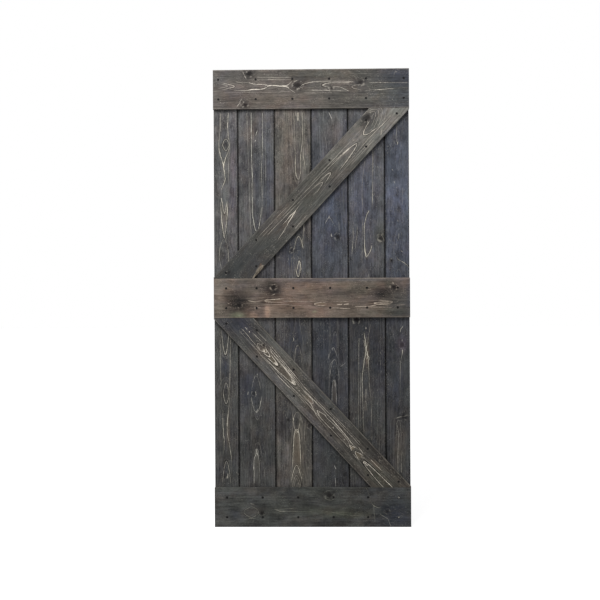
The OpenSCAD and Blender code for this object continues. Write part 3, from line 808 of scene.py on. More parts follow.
# %% The lower brace
BOARDS["lower_brace"] = dict(
    heart=64, ring=7.2, seed=11, ground=(0.030, 0.027, 0.025), second=(0.074, 0.067, 0.059),
    grain=(0.88, 0.80, 0.68), fine=0.7,
    pith=[(0, 44), (150, 38), (278, 35), (310, 38), (360, 42), (483, 49), (600, 54), (700, 56),
          (800, 56), (880, 54), (915, 52), (976, 49), (1071, 42), (1260, 32)],
    knots=[(251, 84, 7, 0.7), (244, 72, 5, 0.4)],
    arches=[(488, 66, -210, 22, 2.0, 1.1, 0.04), (364, 67, -60, 11, 2.0, 1.1, 0.15),
            (312, 68, -38, 11, 1.8, 1.0, 0.1), (285, 71, -28, 15, 1.8, 1.0, 0.2),
            (224, 68, 34, 11, 2.0, 0.8, 0), (606, 66, -60, 16, 2.2, 0.6, 0.2),
            (643, 58, 50, 14, 1.4, 0.9, 0), (862, 58, 30, 12, 1.2, 1.1, 0.35),
            (902, 56, 44, 16, 1.4, 1.0, 0.2), (964, 53, 200, 17, 2.6, 1.15, 0)],
    strands=[[(280, 106, 0), (300, 105, 0.7), (350, 101, 0.8), (400, 97, 0.9), (450, 94, 0.9),
              (500, 90, 0.7), (560, 89, 0.7), (640, 89, 0.7), (720, 91, 0.5), (880, 93, 0.6),
              (900, 93, 0)],
             [(272, 101, 0), (288, 98, 0.8), (350, 94, 0.9), (400, 90, 0.9), (450, 87, 0.9),
              (490, 83, 0.6), (510, 83, 0)],
             [(330, 88, 0), (350, 87, 0.8), (400, 84, 1.0), (450, 80, 1.0), (480, 77, 0.7),
              (520, 76, 0.6), (560, 79, 0.8), (600, 81, 0.8), (640, 81, 0.7), (700, 80, 0.8),
              (760, 79, 1.1), (820, 76, 1.2), (860, 72, 0.8), (900, 73, 0.3), (915, 74, 0)],
             [(680, 98, 0), (720, 98, 0.5), (800, 101, 0.4), (880, 101, 0.4), (900, 101, 0)],
             [(210, 48, 0), (240, 46, 0.6), (300, 42, 0.6), (340, 41, 0.5), (370, 38, 0.5),
              (400, 35, 0.8), (450, 36, 0.9), (500, 39, 0.6), (560, 40, 0.4), (600, 38, 0.3)],
             [(290, 48, 0), (330, 48, 0.6), (380, 46, 0.8), (470, 46, 0.8), (560, 47, 0.7),
              (620, 46, 0.7), (700, 46, 0.7), (870, 48, 0.5)],
             [(120, 61, 0), (140, 61, 0.5), (200, 58, 0.6), (250, 55, 0.6), (260, 55, 0)],
             [(165, 85, 0), (190, 86, 0.5), (250, 88, 0.5), (262, 88, 0)],
             [(530, 73, 0), (550, 74, 0.7), (580, 76, 0.8), (610, 79, 0.7), (640, 76, 0.3)],
             [(530, 57, 0), (548, 58, 0.8), (590, 58, 0.8), (620, 52, 0.8), (650, 42, 0.7),
              (700, 36, 0.3), (830, 28, 0.2)],
             [(670, 72, 0), (690, 68, 0.5), (760, 71, 0.6), (840, 66, 0.7), (864, 59, 0.6)],
             [(980, 44, 0), (1000, 46, 0.7), (1040, 42, 0.7), (1070, 40, 0.6), (1140, 44, 0.2)]],
    threads=[(464, 61, 481, 64, 1.8), (460, 65, 485, 66, 1.8), (455, 69, 477, 68, 1.4),
             (345, 70, 360, 67, 1.8), (342, 64, 357, 66, 1.6), (304, 70, 313, 68, 1.6),
             (301, 65, 311, 67, 1.5), (264, 72, 277, 68, 1.6), (263, 66, 279, 66, 1.8),
             (266, 62, 276, 63, 1.2), (269, 78, 277, 74, 1.2), (283, 95, 300, 89, 1.0),
             (650, 62, 660, 60, 1.2), (866, 56, 880, 57, 1.6), (968, 52, 990, 54, 1.4),
             (185, 104, 245, 107, 0.5), (120, 48, 240, 43, 0.45), (130, 78, 145, 78, 0.9),
             (157, 78, 163, 78, 1.4), (515, 60, 524, 60, 1.7), (748, 58, 756, 58, 1.4),
             (822, 58, 830, 58, 1.2), (900, 82, 935, 78, 0.7), (905, 42, 930, 40, 0.7),
             (980, 84, 1050, 86, 0.7)],
    tints=[(90, 60, 120, 80, SLATE, 0.85), (400, 72, 130, 20, (0.125, 0.107, 0.085), 0.5),
           (330, 18, 240, 24, (0.108, 0.106, 0.099), 0.8),
           (600, 12, 200, 18, (0.115, 0.108, 0.104), 0.7),
           (390, 122, 300, 18, (0.106, 0.103, 0.097), 0.7),
           (620, 118, 120, 22, (0.078, 0.080, 0.082), 0.6),
           (430, 114, 60, 14, (0.110, 0.096, 0.074), 0.5),
           (596, 62, 22, 8, (0.18, 0.145, 0.13), 0.8),
           (660, 45, 120, 20, UMBER, 0.35), (1080, 60, 120, 50, (0.060, 0.061, 0.045), 0.6),
           (1010, 84, 30, 8, UMBER, 0.8), (264, 62, 22, 30, UMBER, 0.5)],
    worn_and_highlight=0.1,
    patchy=0.6,
    calm=[(70, 60, 100, 80, 0.6)],
)

# %% Count what was marked up
for kind in ("knots", "arches", "strands", "threads", "tints"):
    print(kind, sum(len(board[kind]) for board in BOARDS.values()))

# %% [markdown]
# ## From the leaf's axes to a board's own
# A shader sees each point in the leaf's axes. The figure runs with each board, so the first
# step in every board's material turns that point into along, across and depth below the face.
# UV maps could do it too, but they would have to be cut and laid out for every board. The
# braces lean, so theirs is a rotation about the corner where they start. Their lean isn't
# written here: it is read off the solid's own front edge.

# %% The lean of a brace
def brace_lean(node):
    """Angle of a brace's long edge above the horizontal, from its solid's longest edge."""
    mesh = solids[node].data
    spans = [
        mesh.vertices[b].co - mesh.vertices[a].co for a, b in (e.vertices for e in mesh.edges)
    ]
    sloping = [s for s in spans if abs(s.z) > 1 * MM and abs(s.x) > 1 * MM and abs(s.y) < 0.1 * MM]
    longest = max(sloping, key=lambda s: s.length)
    return math.atan(abs(longest.z / longest.x))


lean = brace_lean("upper_brace")
print("braces lean", round(math.degrees(lean), 2), "degrees")


# %% Axes of each board
def board_axes(node):
    """Unit vectors along and across a board, and the point that both are measured from."""
    low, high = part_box(node)
    if node.startswith("plank"):
        return Vector((0, 0, 1)), Vector((1, 0, 0)), Vector((0, low.y, 0))
    if node.endswith("rail"):
        return Vector((1, 0, 0)), Vector((0, 0, 1)), Vector((0, low.y, 0))
    climbs = node == "upper_brace"
    slope = lean if climbs else -lean
    along = Vector((math.cos(slope), 0, math.sin(slope)))
    across = Vector((-math.sin(slope), 0, math.cos(slope)))
    return along, across, Vector((low.x, low.y, low.z if climbs else high.z))


def board_flows(tree, node):
    """Along, across and depth, in metres, as Flows."""
    x, y, z = object_place(tree)
    along, across, start = board_axes(node)
    measure = lambda axis: x * axis.x + z * axis.z - start.dot(axis)
    return measure(along), measure(across), y - start.y


# %% Where a board's face ends
def face_edges(node):
    """Lowest and highest measure across the board of its flat front face."""
    along, across, start = board_axes(node)
    flat = [
        (v.co - start).dot(across)
        for v in solids[node].data.vertices
        if abs(v.co.y - start.y) < 0.02 * MM
    ]
    return min(flat), max(flat)


for node in BOARDS:
    print(node, "face", [round(edge / MM, 1) for edge in face_edges(node)], "mm across")

# %% [markdown]
# ## One face, many layers
# A board's finish came about in steps: the tree grew rings and knots, the saw cut through
# them, stain and brush went over the face, and use wore it. A single function for all of that
# would be hard to read and to change. So a Face stands for one board in its material, and
# each step below reads the layers that it needs and adds its own.

# %% The face of one board
SEED_STEP = 3.7


class Face:
    """A board's face in a shader tree. Each step adds its layers to it, as Flows."""

    def __init__(self, tree, node, board):
        self.tree = tree
        self.node = node
        self.board = board
        self.along, self.across, self.depth = board_flows(tree, node)
        self.seed = board["seed"] * SEED_STEP

    def noise(self, stretch, scale, detail=2.0, roughness=0.5, layer=1):
        """Noise drawn out along the grain by a stretch below 1; layer 1 or -1 picks its place."""
        along = self.along if stretch == 1 else self.along * stretch
        below = self.depth + self.seed if layer == 1 else self.depth - self.seed
        return noise(vector(self.tree, along, self.across, below), scale, detail, roughness)

    def patch(self, *measures):
        """How far a soft oval covers this point: along, across, length, width in millimetres."""
        sizes = [measure * MM for measure in measures]
        return use(self.tree, patch_group, self.along, self.across, *sizes)["Share"]


# %% [markdown]
# ### Knots and calm spots
# A knot is the foot of a branch: dark, hard, ringed with pitch, and the grain flows round it.
# It could be an image laid on the face, but then the rings beside it would run straight
# through. Here each knot gives a push as well as its colours, and the rings that are drawn
# later are bent by the sum of the pushes. Calm spots work the other way: they quiet the grain
# where the stain lay thick.

# %% Knots
def add_knots(face):
    """The pushes add up to bend the grain, and of each mask the largest wins."""
    face.push, face.swell, face.heart, face.shade, face.rim = 0.0, 0.0, 0.0, 0.0, 0.0
    for along, across, radius, dark in face.board["knots"]:
        knot = use(face.tree, knot_group, face.along, face.across,
                   along * MM, across * MM, radius * MM, dark)
        face.push = knot["Push"] + face.push
        face.swell = knot["Swell"] + face.swell
        face.heart = knot["Heart"].math("MAXIMUM", face.heart)
        face.shade = knot["Shade"].math("MAXIMUM", face.shade)
        face.rim = knot["Rim"].math("MAXIMUM", face.rim)


# %% Calm spots
def add_calm_spots(face):
    """How much of the grain is left to see: 1 everywhere but in the calm spots."""
    face.hush = 1.0
    for *oval, amount in face.board.get("calm", []):
        face.hush = (face.patch(*oval) * -amount + 1.0).math("MINIMUM", face.hush)


# %% [markdown]
# ### Growth rings
# The ring number is the distance from the pith over the ring width. A Wave texture makes
# rings too, but its pith is a straight line and its arches can't be steered. Here the pith's
# depth comes from a curve through each board's own points, and slow noise makes the tree
# wander a little, as every tree does. The steepness of that distance is worked out beside it,
# so that a line can be a true number of millimetres wide wherever it falls.

# %% Growth rings
PITH_SCALE = 0.1
STEP = 10 * MM
BEND, SINK = 14 * MM, 4 * MM
WIGGLE, SHIVER = 4.5 * MM, 16 * MM


def add_rings(face):
    """The ring number at each point, and how fast it changes across the face."""
    board, along = face.board, face.along
    bend = face.noise(stretch=0.35, scale=9.0) - 0.5
    sink = face.noise(stretch=0.35, scale=6.0, detail=1.0, layer=-1) - 0.5
    face.wiggle = face.noise(stretch=0.45, scale=85.0, detail=3.0, roughness=0.6) - 0.5
    shaken = vector(face.tree, along * 0.9, face.across * 0.6, face.depth - face.seed)
    face.shiver = noise(shaken, scale=60.0, detail=2.0, roughness=0.6) - 0.5
    first, last = board["pith"][0][0] * MM, board["pith"][-1][0] * MM
    line = [((a * MM - first) / (last - first), d * MM / PITH_SCALE) for a, d in board["pith"]]
    share = (along + face.shiver * SHIVER - first) / (last - first)
    pith = curve(share, line) * PITH_SCALE
    slope = (curve(share + STEP / (last - first), line) * PITH_SCALE - pith) / STEP
    side = face.across + face.push + bend * BEND + face.wiggle * WIGGLE - board["heart"] * MM
    below = pith + sink * SINK - face.depth
    from_pith = (side.squared() + below.squared()).root()
    width = board["ring"] * MM
    face.side = side
    face.ring = from_pith / width + face.swell
    face.steep = (side.squared() + (below * slope).squared()).root() / from_pith / width + 1.5


# %% [markdown]
# ### Faint latewood
# Each year ends in a thin band of hard latewood. Soft wood drinks the dark stain and hard
# wood sheds it, so on this door the rings show as pale lines, strongest near the heart and
# broken up along the way. Sharp stripes would look printed. So each ring draws its own
# strength by chance, from White Noise fed with the whole ring number.

# %% Faint latewood
LINE_HALF, LATE_BACK = 1.7 * MM, 0.9 * MM
HEART_REACH, AT_HEART, ANYWHERE = 45 * MM, 0.22, 0.10
BROKEN_LEAST, ON_THE_EDGES = 0.25, 3.0


def add_latewood(face):
    """A thin pale line at the end of each ring, which fades away from the heart."""
    face.turn = face.ring.math("FRACT")
    uneven = face.noise(stretch=0.3, scale=55.0)
    face.thick = uneven.smooth(0.3, 0.7, 0.6 * LINE_HALF, 1.35 * LINE_HALF)
    late = (face.turn.left() / face.steep / face.thick).smooth(1.0, 0.2)
    late = late.math("MAXIMUM", (face.turn / face.steep).smooth(LATE_BACK, 0.0))
    white = face.tree.nodes.new("ShaderNodeTexWhiteNoise")
    white.noise_dimensions = "1D"
    plug(face.tree, face.ring.math("FLOOR") + face.seed, white.inputs["W"])
    rank = Flow(face.tree, white.outputs["Value"]).smooth(0.25, 1.0, 0.1, 1.0)
    face.broken = face.noise(stretch=0.2, scale=60.0, detail=3.0, roughness=0.65).smooth(0.38, 0.6)
    centre = (face.side / HEART_REACH).bell() * AT_HEART + ANYWHERE
    inward = face.depth.smooth(6 * MM, 10 * MM, 1.0, ON_THE_EDGES)
    unbroken = face.broken * (1 - BROKEN_LEAST) + BROKEN_LEAST
    face.pale = late * rank * unbroken * centre * face.hush * inward


# %% [markdown]
# ### The bright figure
# What the eye remembers of a board is a dozen bright lines: arches, strands and short
# threads. Rings from a formula never put them in the right place, so they are drawn one by
# one from the board's own list, on the front face only. Fine noise frays each of them. Each
# line also steps aside by a hair where an earlier one is bright. That keeps crossings crisp,
# and it makes the lines a chain, which a renderer can work through one by one: it has room
# for only so many numbers at once, and with forty lines in a flat row the board goes black.

# %% The bright figure
NUDGE = 0.3 * MM
FRAY_WIGGLE, FRAY, FRAY_ALONG = 4 * MM, 3 * MM, 10 * MM
LINE_LEAST, LINE_BREAKS, LINE_SPECKS = 0.35, 0.35, 0.35


def add_figure(face):
    """Arches, strands and threads, with the darker wood that flanks them."""
    fray = face.noise(stretch=0.6, scale=190.0, detail=2.0, roughness=0.6) - 0.5
    place = face.across + face.wiggle * FRAY_WIGGLE + fray * FRAY
    where = face.along + face.shiver * FRAY_ALONG
    fine = face.thick * face.board.get("fine", 1.0)
    figure, flank, face.filled = 0.0, 0.0, 0.0
    for *sizes, blunt, amount, fill in face.board["arches"]:
        beside = place + figure * NUDGE
        sizes = [size * MM for size in sizes]
        arch = use(face.tree, hairpin_group, where, beside, *sizes, blunt, amount, fine)
        figure = arch["Line"].math("MAXIMUM", figure)
        flank = arch["Flank"].math("MAXIMUM", flank)
        if fill:
            face.filled = (arch["Inside"] * fill).math("MAXIMUM", face.filled)
    for points in face.board["strands"]:
        nudge = figure * NUDGE
        line, beside = strand(face.tree, where + nudge, place + nudge, points, fine)
        figure = line.math("MAXIMUM", figure)
        flank = beside.math("MAXIMUM", flank)
    for *ends, amount in face.board["threads"]:
        beside = place + figure * NUDGE
        ends = [end * MM for end in ends]
        run = use(face.tree, thread_group, where, beside, *ends, amount, fine)
        figure = run["Line"].math("MAXIMUM", figure)
    speck = face.noise(stretch=0.5, scale=150.0, detail=2.0, roughness=0.7, layer=-1).smooth(0.3, 0.62)
    front = face.depth.smooth(6 * MM, 2 * MM)
    figure = figure * (face.broken * LINE_BREAKS + LINE_LEAST + speck * LINE_SPECKS) * front
    face.flank = flank.math("MINIMUM", 1.0) * front
    face.pale = face.pale.math("MAXIMUM", figure) * face.heart.left()
    face.pale = face.pale.math("MAXIMUM", face.rim)


# %% [markdown]
# ### Flecks, worn and highlit edges, and dark seams
# Between its lines the face is full of short pale dashes and grains, where the stain slid off
# a hard fibre. Hands and rope rub it off the proud edges of rails and braces, and the pale line
# there is also a painted highlight, where the rounded arris catches the light. Stain runs down
# into the seams between the planks and dries nearly black, and the darkening beside each seam
# is also painted shade in the groove. Geometry nodes could paint an edge mask, but the distance
# to the edge of a straight board is just a subtraction.

# %% Flecks
DASH_SHARE, SALT_SHARE = 0.32, 0.3


def add_flecks(face):
    """Dashes along the grain and rounder grains, each in loose clouds of their own."""
    dash = face.noise(stretch=0.14, scale=420.0, detail=1.0).smooth(0.62, 0.76)
    dash = dash * face.noise(stretch=0.5, scale=14.0, detail=1.0, layer=-1).smooth(0.4, 0.7)
    face.pale = face.pale.math("MAXIMUM", dash * DASH_SHARE)
    salt = face.noise(stretch=0.7, scale=280.0, detail=1.0).smooth(0.60, 0.74)
    salt = salt * face.noise(stretch=1, scale=18.0, detail=2.0, layer=-1).smooth(0.42, 0.62)
    face.pale = face.pale.math("MAXIMUM", salt * SALT_SHARE)


# %% Worn edges with a painted highlight, and seams with stain and painted shade
WORN_AND_HIGHLIGHT_WIDTH, WORN_AND_HIGHLIGHT_LEAST = 3.5 * MM, 0.3
SEAM_WIDTH, SEAM_DARK = 4.5 * MM, 0.28


def add_edges(face):
    """Arrises of rails and braces: rubbed bare, plus painted highlight; plank seams: stain and painted
    shade.
    """
    face.low_edge, high_edge = face_edges(face.node)
    edge = (face.across - face.low_edge).math("MINIMUM", face.across * -1.0 + high_edge)
    face.pooled = 1.0
    if "worn_and_highlight" in face.board:
        # Pale arrises: rubbed bare, and a painted highlight where the rounded edge catches the light.
        worn_and_highlight = edge.smooth(WORN_AND_HIGHLIGHT_WIDTH, 0.5 * MM) * face.depth.smooth(3.0 * MM, 1.0 * MM)
        rubbed_and_highlight = worn_and_highlight * (face.broken * (1 - WORN_AND_HIGHLIGHT_LEAST) + WORN_AND_HIGHLIGHT_LEAST) * face.board["worn_and_highlight"]
        face.pale = face.pale.math("MAXIMUM", rubbed_and_highlight)
    else:
        # Darker beside the seams: pooled stain, and painted shade in the groove.
        face.pooled = edge.smooth(-1.0 * MM, SEAM_WIDTH, SEAM_DARK, 1.0)
    face.pale = face.pale.math("MINIMUM", 1.0)


# %% [markdown]
# ### The torn wedge
# A strip tore out of one brace's edge after the stain was on, so raw pine shows in a long
# wedge, narrow where the split began. The hollow is in the solid. Its colour could be a
# material of its own on those faces, but the real wedge runs out over the flat face too, with
# a ragged side. So it is a mask in the brace's own material.

# %% The mask of the torn wedge
RAGGED_SIDE, RAGGED_TOP = 1.2, 0.3
HOLLOW_FLOOR = 12 * MM


def raw_strips(along, across, depth, scale):
    """Pale and dark strips of wood that has split along its fibres."""
    place = vector(along.tree, along * 0.05, across, depth)
    return noise(place, scale, detail=3.0, roughness=0.6).smooth(0.35, 0.65)


def add_torn_wedge(face):
    """1 where raw wood shows, on a board that is torn."""
    if "torn" not in face.board:
        return
    foot, top, narrow, wide = (size * MM for size in face.board["torn"])
    place = vector(face.tree, face.along * 0.3, face.across, face.depth)
    ragged = noise(place, scale=140.0, detail=3.0, roughness=0.65) - 0.5
    run = (face.along - foot) / (top - foot)
    far = (face.across - face.low_edge) / (run * (wide - narrow) + narrow)
    raw = (far + ragged * RAGGED_SIDE).smooth(1.0, 0.75)
    raw = raw * (run + ragged * RAGGED_TOP).smooth(1.0, 0.94)
    face.raw = raw * run.smooth(-0.04, 0.02) * face.depth.smooth(HOLLOW_FLOOR, 9 * MM)


# %% [markdown]
# ### The stained ground
# The ground is two tones of the same stain in long streaks and soft clouds. Over them go the
# tints: places where the stain lies thicker, bluer or browner. A Color Ramp over noise gives
# a ground too, but its ends are the same everywhere, and a real board drifts from one end to
# the other. Last come the brush marks, which are fine noise drawn far out along the grain.

# %% Two tones and the tints
LEAST_SECOND, STREAKS, CLOUDS = 0.27, 0.46, 0.46
TINT_LEAST, TINT_RAGGED = 0.7, 0.3


def add_ground(face):
    """The stain's colour before the brush marks."""
    board = face.board
    streak = face.noise(stretch=0.05, scale=60.0, detail=4.0, roughness=0.7).smooth(0.38, 0.62)
    face.cloud = face.noise(stretch=0.5, scale=13.0, detail=4.0, roughness=0.65).smooth(0.38, 0.62)
    tone = (streak - 0.5) * STREAKS * face.hush + face.cloud * CLOUDS + LEAST_SECOND
    face.colour = mix(tone, board["ground"], board["second"])
    for *oval, tint, amount in board["tints"]:
        uneven = streak * TINT_RAGGED + face.cloud * TINT_RAGGED + TINT_LEAST
        share = face.patch(*oval) * amount * uneven
        face.colour = mix(share.math("MINIMUM", 1.0), face.colour, tint)


# %% Brush marks and blotches
WARM, COOL, TEAL = (1.045, 0.98, 0.95), (0.975, 0.98, 1.045), (0.955, 1.015, 0.985)
TINGED = 0.7
# Shares of the stain's brightness that each kind of mark adds or takes away.
GRIT, FIBRES = 0.24, 0.12
LANES_LEAST, LANES_DRIFT = 0.2, 0.22
MOTTLES, CLUMPS, CLOUDY = 0.36, 0.24, 0.26
EARLY_DARK, EARLY_LIGHT = 0.87, 1.05
BRUSHED_LEAST = 0.2
FLANK_SHADE = 0.55


def add_brush_marks(face):
    """Fibres, lanes of the brush and blotches, in brightness and a little in hue."""
    face.fibre = face.noise(stretch=0.03, scale=1000.0, detail=2.0, roughness=0.7)
    face.grit = face.noise(stretch=0.22, scale=130.0, detail=4.0, roughness=0.75)
    lane = face.noise(stretch=0.015, scale=110.0, detail=3.0, roughness=0.7, layer=-1).smooth(0.3, 0.7)
    drift = face.noise(stretch=0.7, scale=20.0, detail=2.0, roughness=0.6, layer=-1).smooth(0.35, 0.65)
    mottle = face.noise(stretch=0.6, scale=34.0, detail=3.0, roughness=0.6).smooth(0.35, 0.65)
    clump = face.noise(stretch=0.8, scale=130.0, detail=2.0, roughness=0.6).smooth(0.3, 0.7)
    brushed = face.grit.smooth(0.3, 0.7, -GRIT, GRIT)
    brushed = brushed + face.fibre.smooth(0.25, 0.75, -FIBRES, FIBRES)
    brushed = brushed + (lane - 0.5) * (drift * LANES_DRIFT + LANES_LEAST)
    blotch = (mottle - 0.5) * MOTTLES + (clump - 0.5) * CLUMPS + (face.cloud - 0.5) * CLOUDY
    early = face.turn.smooth(0.0, 0.7, EARLY_DARK, EARLY_LIGHT)
    early = early + blotch * face.board.get("patchy", 1.0)
    early = early + brushed * (face.hush * (1 - BRUSHED_LEAST) + BRUSHED_LEAST)
    tinge = face.noise(stretch=0.6, scale=14.0, detail=2.0, roughness=0.6).smooth(0.38, 0.62)
    hue = mix(drift, WARM, COOL)
    hue = mix(tinge * TINGED, hue, TEAL)
    face.colour = colour_product("MULTIPLY", face.colour, hue)
    gain = early * face.pooled * (face.flank * -FLANK_SHADE + 1.0)
    face.colour = colour_product("SCALE", face.colour, gain)


# %% Grain, knots and raw wood over the ground
KNOT_BLACK, PITCH_SHARE = (0.010, 0.008, 0.008), 0.8
RAW_DARK, RAW_PALE, RAW_BROWN = (0.10, 0.079, 0.061), (0.30, 0.262, 0.210), (0.105, 0.074, 0.057)
BROWN_BACK, BROWN_IN, BROWN_LENGTH, BROWN_WIDTH, BROWN_SHARE = 8, 20, 15, 8, 1.3


def add_grain_colours(face):
    """The pale grain, then the dark knots, then the torn wedge where there is one."""
    colour = face.colour
    if isinstance(face.filled, Flow):
        colour = mix(face.filled.math("MINIMUM", 1.0), colour, face.board.get("fill", TAN))
    colour = mix(face.pale, colour, face.board["grain"])
    colour = mix((face.shade * PITCH_SHARE).math("MINIMUM", 1.0), colour, PITCH)
    colour = mix(face.heart, colour, KNOT_BLACK)
    if "torn" in face.board:
        oval = (face.board["torn"][1] - BROWN_BACK, face.low_edge / MM + BROWN_IN)
        split = raw_strips(face.along, face.across, face.depth, scale=420.0)
        brown = face.patch(*oval, BROWN_LENGTH, BROWN_WIDTH) * BROWN_SHARE
        wood = mix(brown.math("MINIMUM", 1.0), mix(split, RAW_DARK, RAW_PALE), RAW_BROWN)
        colour = mix(face.raw, colour, wood)
    face.colour = colour


# %% [markdown]
# ### Pine for every board
# The layers go on in order, and the last cell wires them to the shader. The same values also
# drive the relief, since what is pale and hard stands proud on a brushed board, and fibres
# and knots sink. Real displacement would need millions of faces for the same half millimetre.

# %% Pine for every board
LAYERS = (
    add_knots, add_calm_spots, add_rings, add_latewood, add_figure, add_flecks, add_edges,
    add_torn_wedge, add_ground, add_brush_marks, add_grain_colours,
)


MATT, HARD_SHEEN, FIBRE_MATT = 0.68, 0.15, 0.12
PROUD_GRAIN, PROUD_LATEWOOD, RAISED_FIBRE, RAISED_GRIT, SUNK_KNOT = 0.5, 0.25, 0.5, 0.4, 0.5
RELIEF_STRENGTH, RELIEF = 0.6, 0.5 * MM


def wood_material(node, board):
    """One board's stained pine."""
    material, tree, shader = new_material("pine_" + node, specular=0.15)
    face = Face(tree, node, board)
    for add_layer in LAYERS:
        add_layer(face)
    plug(tree, face.colour, shader.inputs["Base Color"])
    roughness = face.pale * -HARD_SHEEN + face.fibre * FIBRE_MATT + MATT
    plug(tree, roughness, shader.inputs["Roughness"])
    height = face.pale * PROUD_GRAIN + face.turn * PROUD_LATEWOOD
    height = height + face.fibre * RAISED_FIBRE + face.grit * RAISED_GRIT - face.heart * SUNK_KNOT
    relief(shader, height, RELIEF_STRENGTH, RELIEF)
    return material


for node, board in BOARDS.items():
    pine = wood_material(node, board)
    solids[node].data.materials.clear()
    solids[node].data.materials.append(pine)
    print(pine.name, len(pine.node_tree.nodes), "nodes")

# %% [markdown]
# ## Screws, turned again with their thread
# Each one is a black wood screw with a countersunk head, a cross recess and a coarse thread.
# Its solid has the thread as a plain cylinder, which is right for a fit and too plain for a
# close look. A Screw modifier could wind a thread profile along a helix, but that thread ends
# in a step at the smooth shank. So the whole screw here is one skin of rings around its axis,
# and the rings swell and shrink with a helix that fades in at the shank and out at the tip.

# %% Where each screw stands, read off its solid
HEAD_REACH = 9 * MM


def screw_boxes(node):
    """Lowest and highest corner of each separate screw of a node."""
    clusters = []
    for vertex in solids[node].data.vertices:
        place = vertex.co
        for cluster in clusters:
            if abs(cluster[0].x - place.x) < HEAD_REACH and abs(cluster[0].z - place.z) < HEAD_REACH:
                cluster.append(place)
                break
        else:
            clusters.append([place])
    corner = lambda points, pick: Vector([pick(p[i] for p in points) for i in range(3)])
    return [(corner(points, min), corner(points, max)) for points in clusters]


screw_nodes = [node for node in solids if node.endswith("screws")]
boxes = {node: screw_boxes(node) for node in screw_nodes}
print("screws:", {node: len(found) for node, found in boxes.items()})

# %% Rings around a screw's axis
SIDES = 24
TURNS = [2 * math.pi * i / SIDES for i in range(SIDES)]


def ring_of_points(radius_at, depth_at):
    """One ring around the screw's axis; depth runs into the wood."""
    return [
        Vector((radius_at(t) * math.cos(t), depth_at(t), radius_at(t) * math.sin(t))) for t in TURNS
    ]


# %% The cross recess
RECESS_HALF_LENGTH, RECESS_HALF_WIDTH, RECESS_DEPTH = 2.3 * MM, 0.55 * MM, 2.0 * MM
RECESS_MOUTH, RECESS_TAPER, RECESS_HOLLOW = 1.15, 0.3, 0.6


def recess_depth(radius, turn):
    """How deep the cross recess is at this spot of the head."""
    x, z = abs(radius * math.cos(turn)), abs(radius * math.sin(turn))
    out = radius / RECESS_HALF_LENGTH
    if min(x, z) >= RECESS_HALF_WIDTH * (RECESS_MOUTH - out * RECESS_TAPER):
        return 0.0
    return max(0.0, 1 - out) ** RECESS_HOLLOW * RECESS_DEPTH


# %% The thread
SHANK, THREAD, PITCH_OF_THREAD = 1.6 * MM, 2.1 * MM, 2.4 * MM
SMOOTH, FADE_IN, TIP = 12 * MM, 2 * MM, 5 * MM
ROOT_CUT, CREST_SHARP, TIP_SHARE = 0.25 * MM, 3.2, 0.04


def thread_radius(depth, turn, length):
    """The thread's ripple: sharp crests that climb around the shank."""
    phase = (depth / PITCH_OF_THREAD + turn / (2 * math.pi)) % 1
    crest = max(0.0, 1 - abs(phase - 0.5) * CREST_SHARP)
    start = min(1.0, max(0.0, (depth - SMOOTH) / FADE_IN))
    point = min(1.0, max(TIP_SHARE, (length - depth) / TIP))
    core = SHANK - ROOT_CUT * start
    return (core + (THREAD - core) * crest * start) * point


# %% A whole screw
HEAD_SHARES = (0.04, 0.12, 0.2, 0.3, 0.4, 0.5, 0.6, 0.75, 0.9)
RIM, CONE, RINGS_A_TURN = 0.4 * MM, 2.6 * MM, 7


def screw_rings(head_radius, length):
    """Rings from the middle of the head out over its rim, and down the shank to the tip."""
    rings = []
    for share in HEAD_SHARES:
        radius = head_radius * share
        rings.append(ring_of_points(lambda t: radius, lambda t: recess_depth(radius, t)))
    for radius, depth in (
        (head_radius * 0.99, 0.03 * MM), (head_radius, 0.12 * MM), (head_radius, RIM),
        (SHANK * 1.15, RIM + CONE * 0.9), (SHANK, RIM + CONE * 1.15), (SHANK, SMOOTH),
    ):
        rings.append(ring_of_points(lambda t: radius, lambda t: depth))
    steps = round((length - SMOOTH) / PITCH_OF_THREAD * RINGS_A_TURN)
    for step in range(1, steps + 1):
        depth = SMOOTH + (length - SMOOTH) * step / steps
        rings.append(ring_of_points(lambda t: thread_radius(depth, t, length), lambda t: depth))
    return rings


# %% A skin over rings, as a mesh
def skin(mesh, rings, capped=True):
    """Adds rings of points to a bmesh, the faces between them, and a cap at both ends."""
    rows = [[mesh.verts.new(point) for point in ring] for ring in rings]
    for row, after in zip(rows, rows[1:]):
        for i in range(len(row)):
            j = (i + 1) % len(row)
            mesh.faces.new((row[i], row[j], after[j], after[i]))
    if capped:
        mesh.faces.new(rows[0][::-1])
        mesh.faces.new(rows[-1])


def piece_from(mesh, name, material, smooth=True):
    """A piece of the door from a bmesh, riding on its only body."""
    bmesh.ops.recalc_face_normals(mesh, faces=mesh.faces)
    data = bpy.data.meshes.new(name)
    mesh.to_mesh(data)
    mesh.free()
    for face in data.polygons:
        face.use_smooth = smooth
    data.materials.append(material)
    piece = bpy.data.objects.new(name, data)
    scene.collection.objects.link(piece)
    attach(piece, "root")
    return piece


# %% [markdown]
# ### Black phosphate
# The screws have a dull black crystal coat against rust. At the foot of the door two heads carry
# a painted glint, which looks like the coat rubbed through to bare metal. Those two could have a
# material of their own, but then they would have to leave the other screws of their rail. One
# material that knows where the glinting corner is serves every screw, and keeps each rail's
# screws in one piece.

# %% The coat, with a painted glint on two heads at the foot
GLINT_X, GLINT_WIDTH, GLINT_TOP = 405 * MM, 30 * MM, 200 * MM
COAT_DARK, COAT_PALE, GLINT_STEEL = (0.004, 0.004, 0.004), (0.011, 0.011, 0.012), (0.42, 0.40, 0.36)


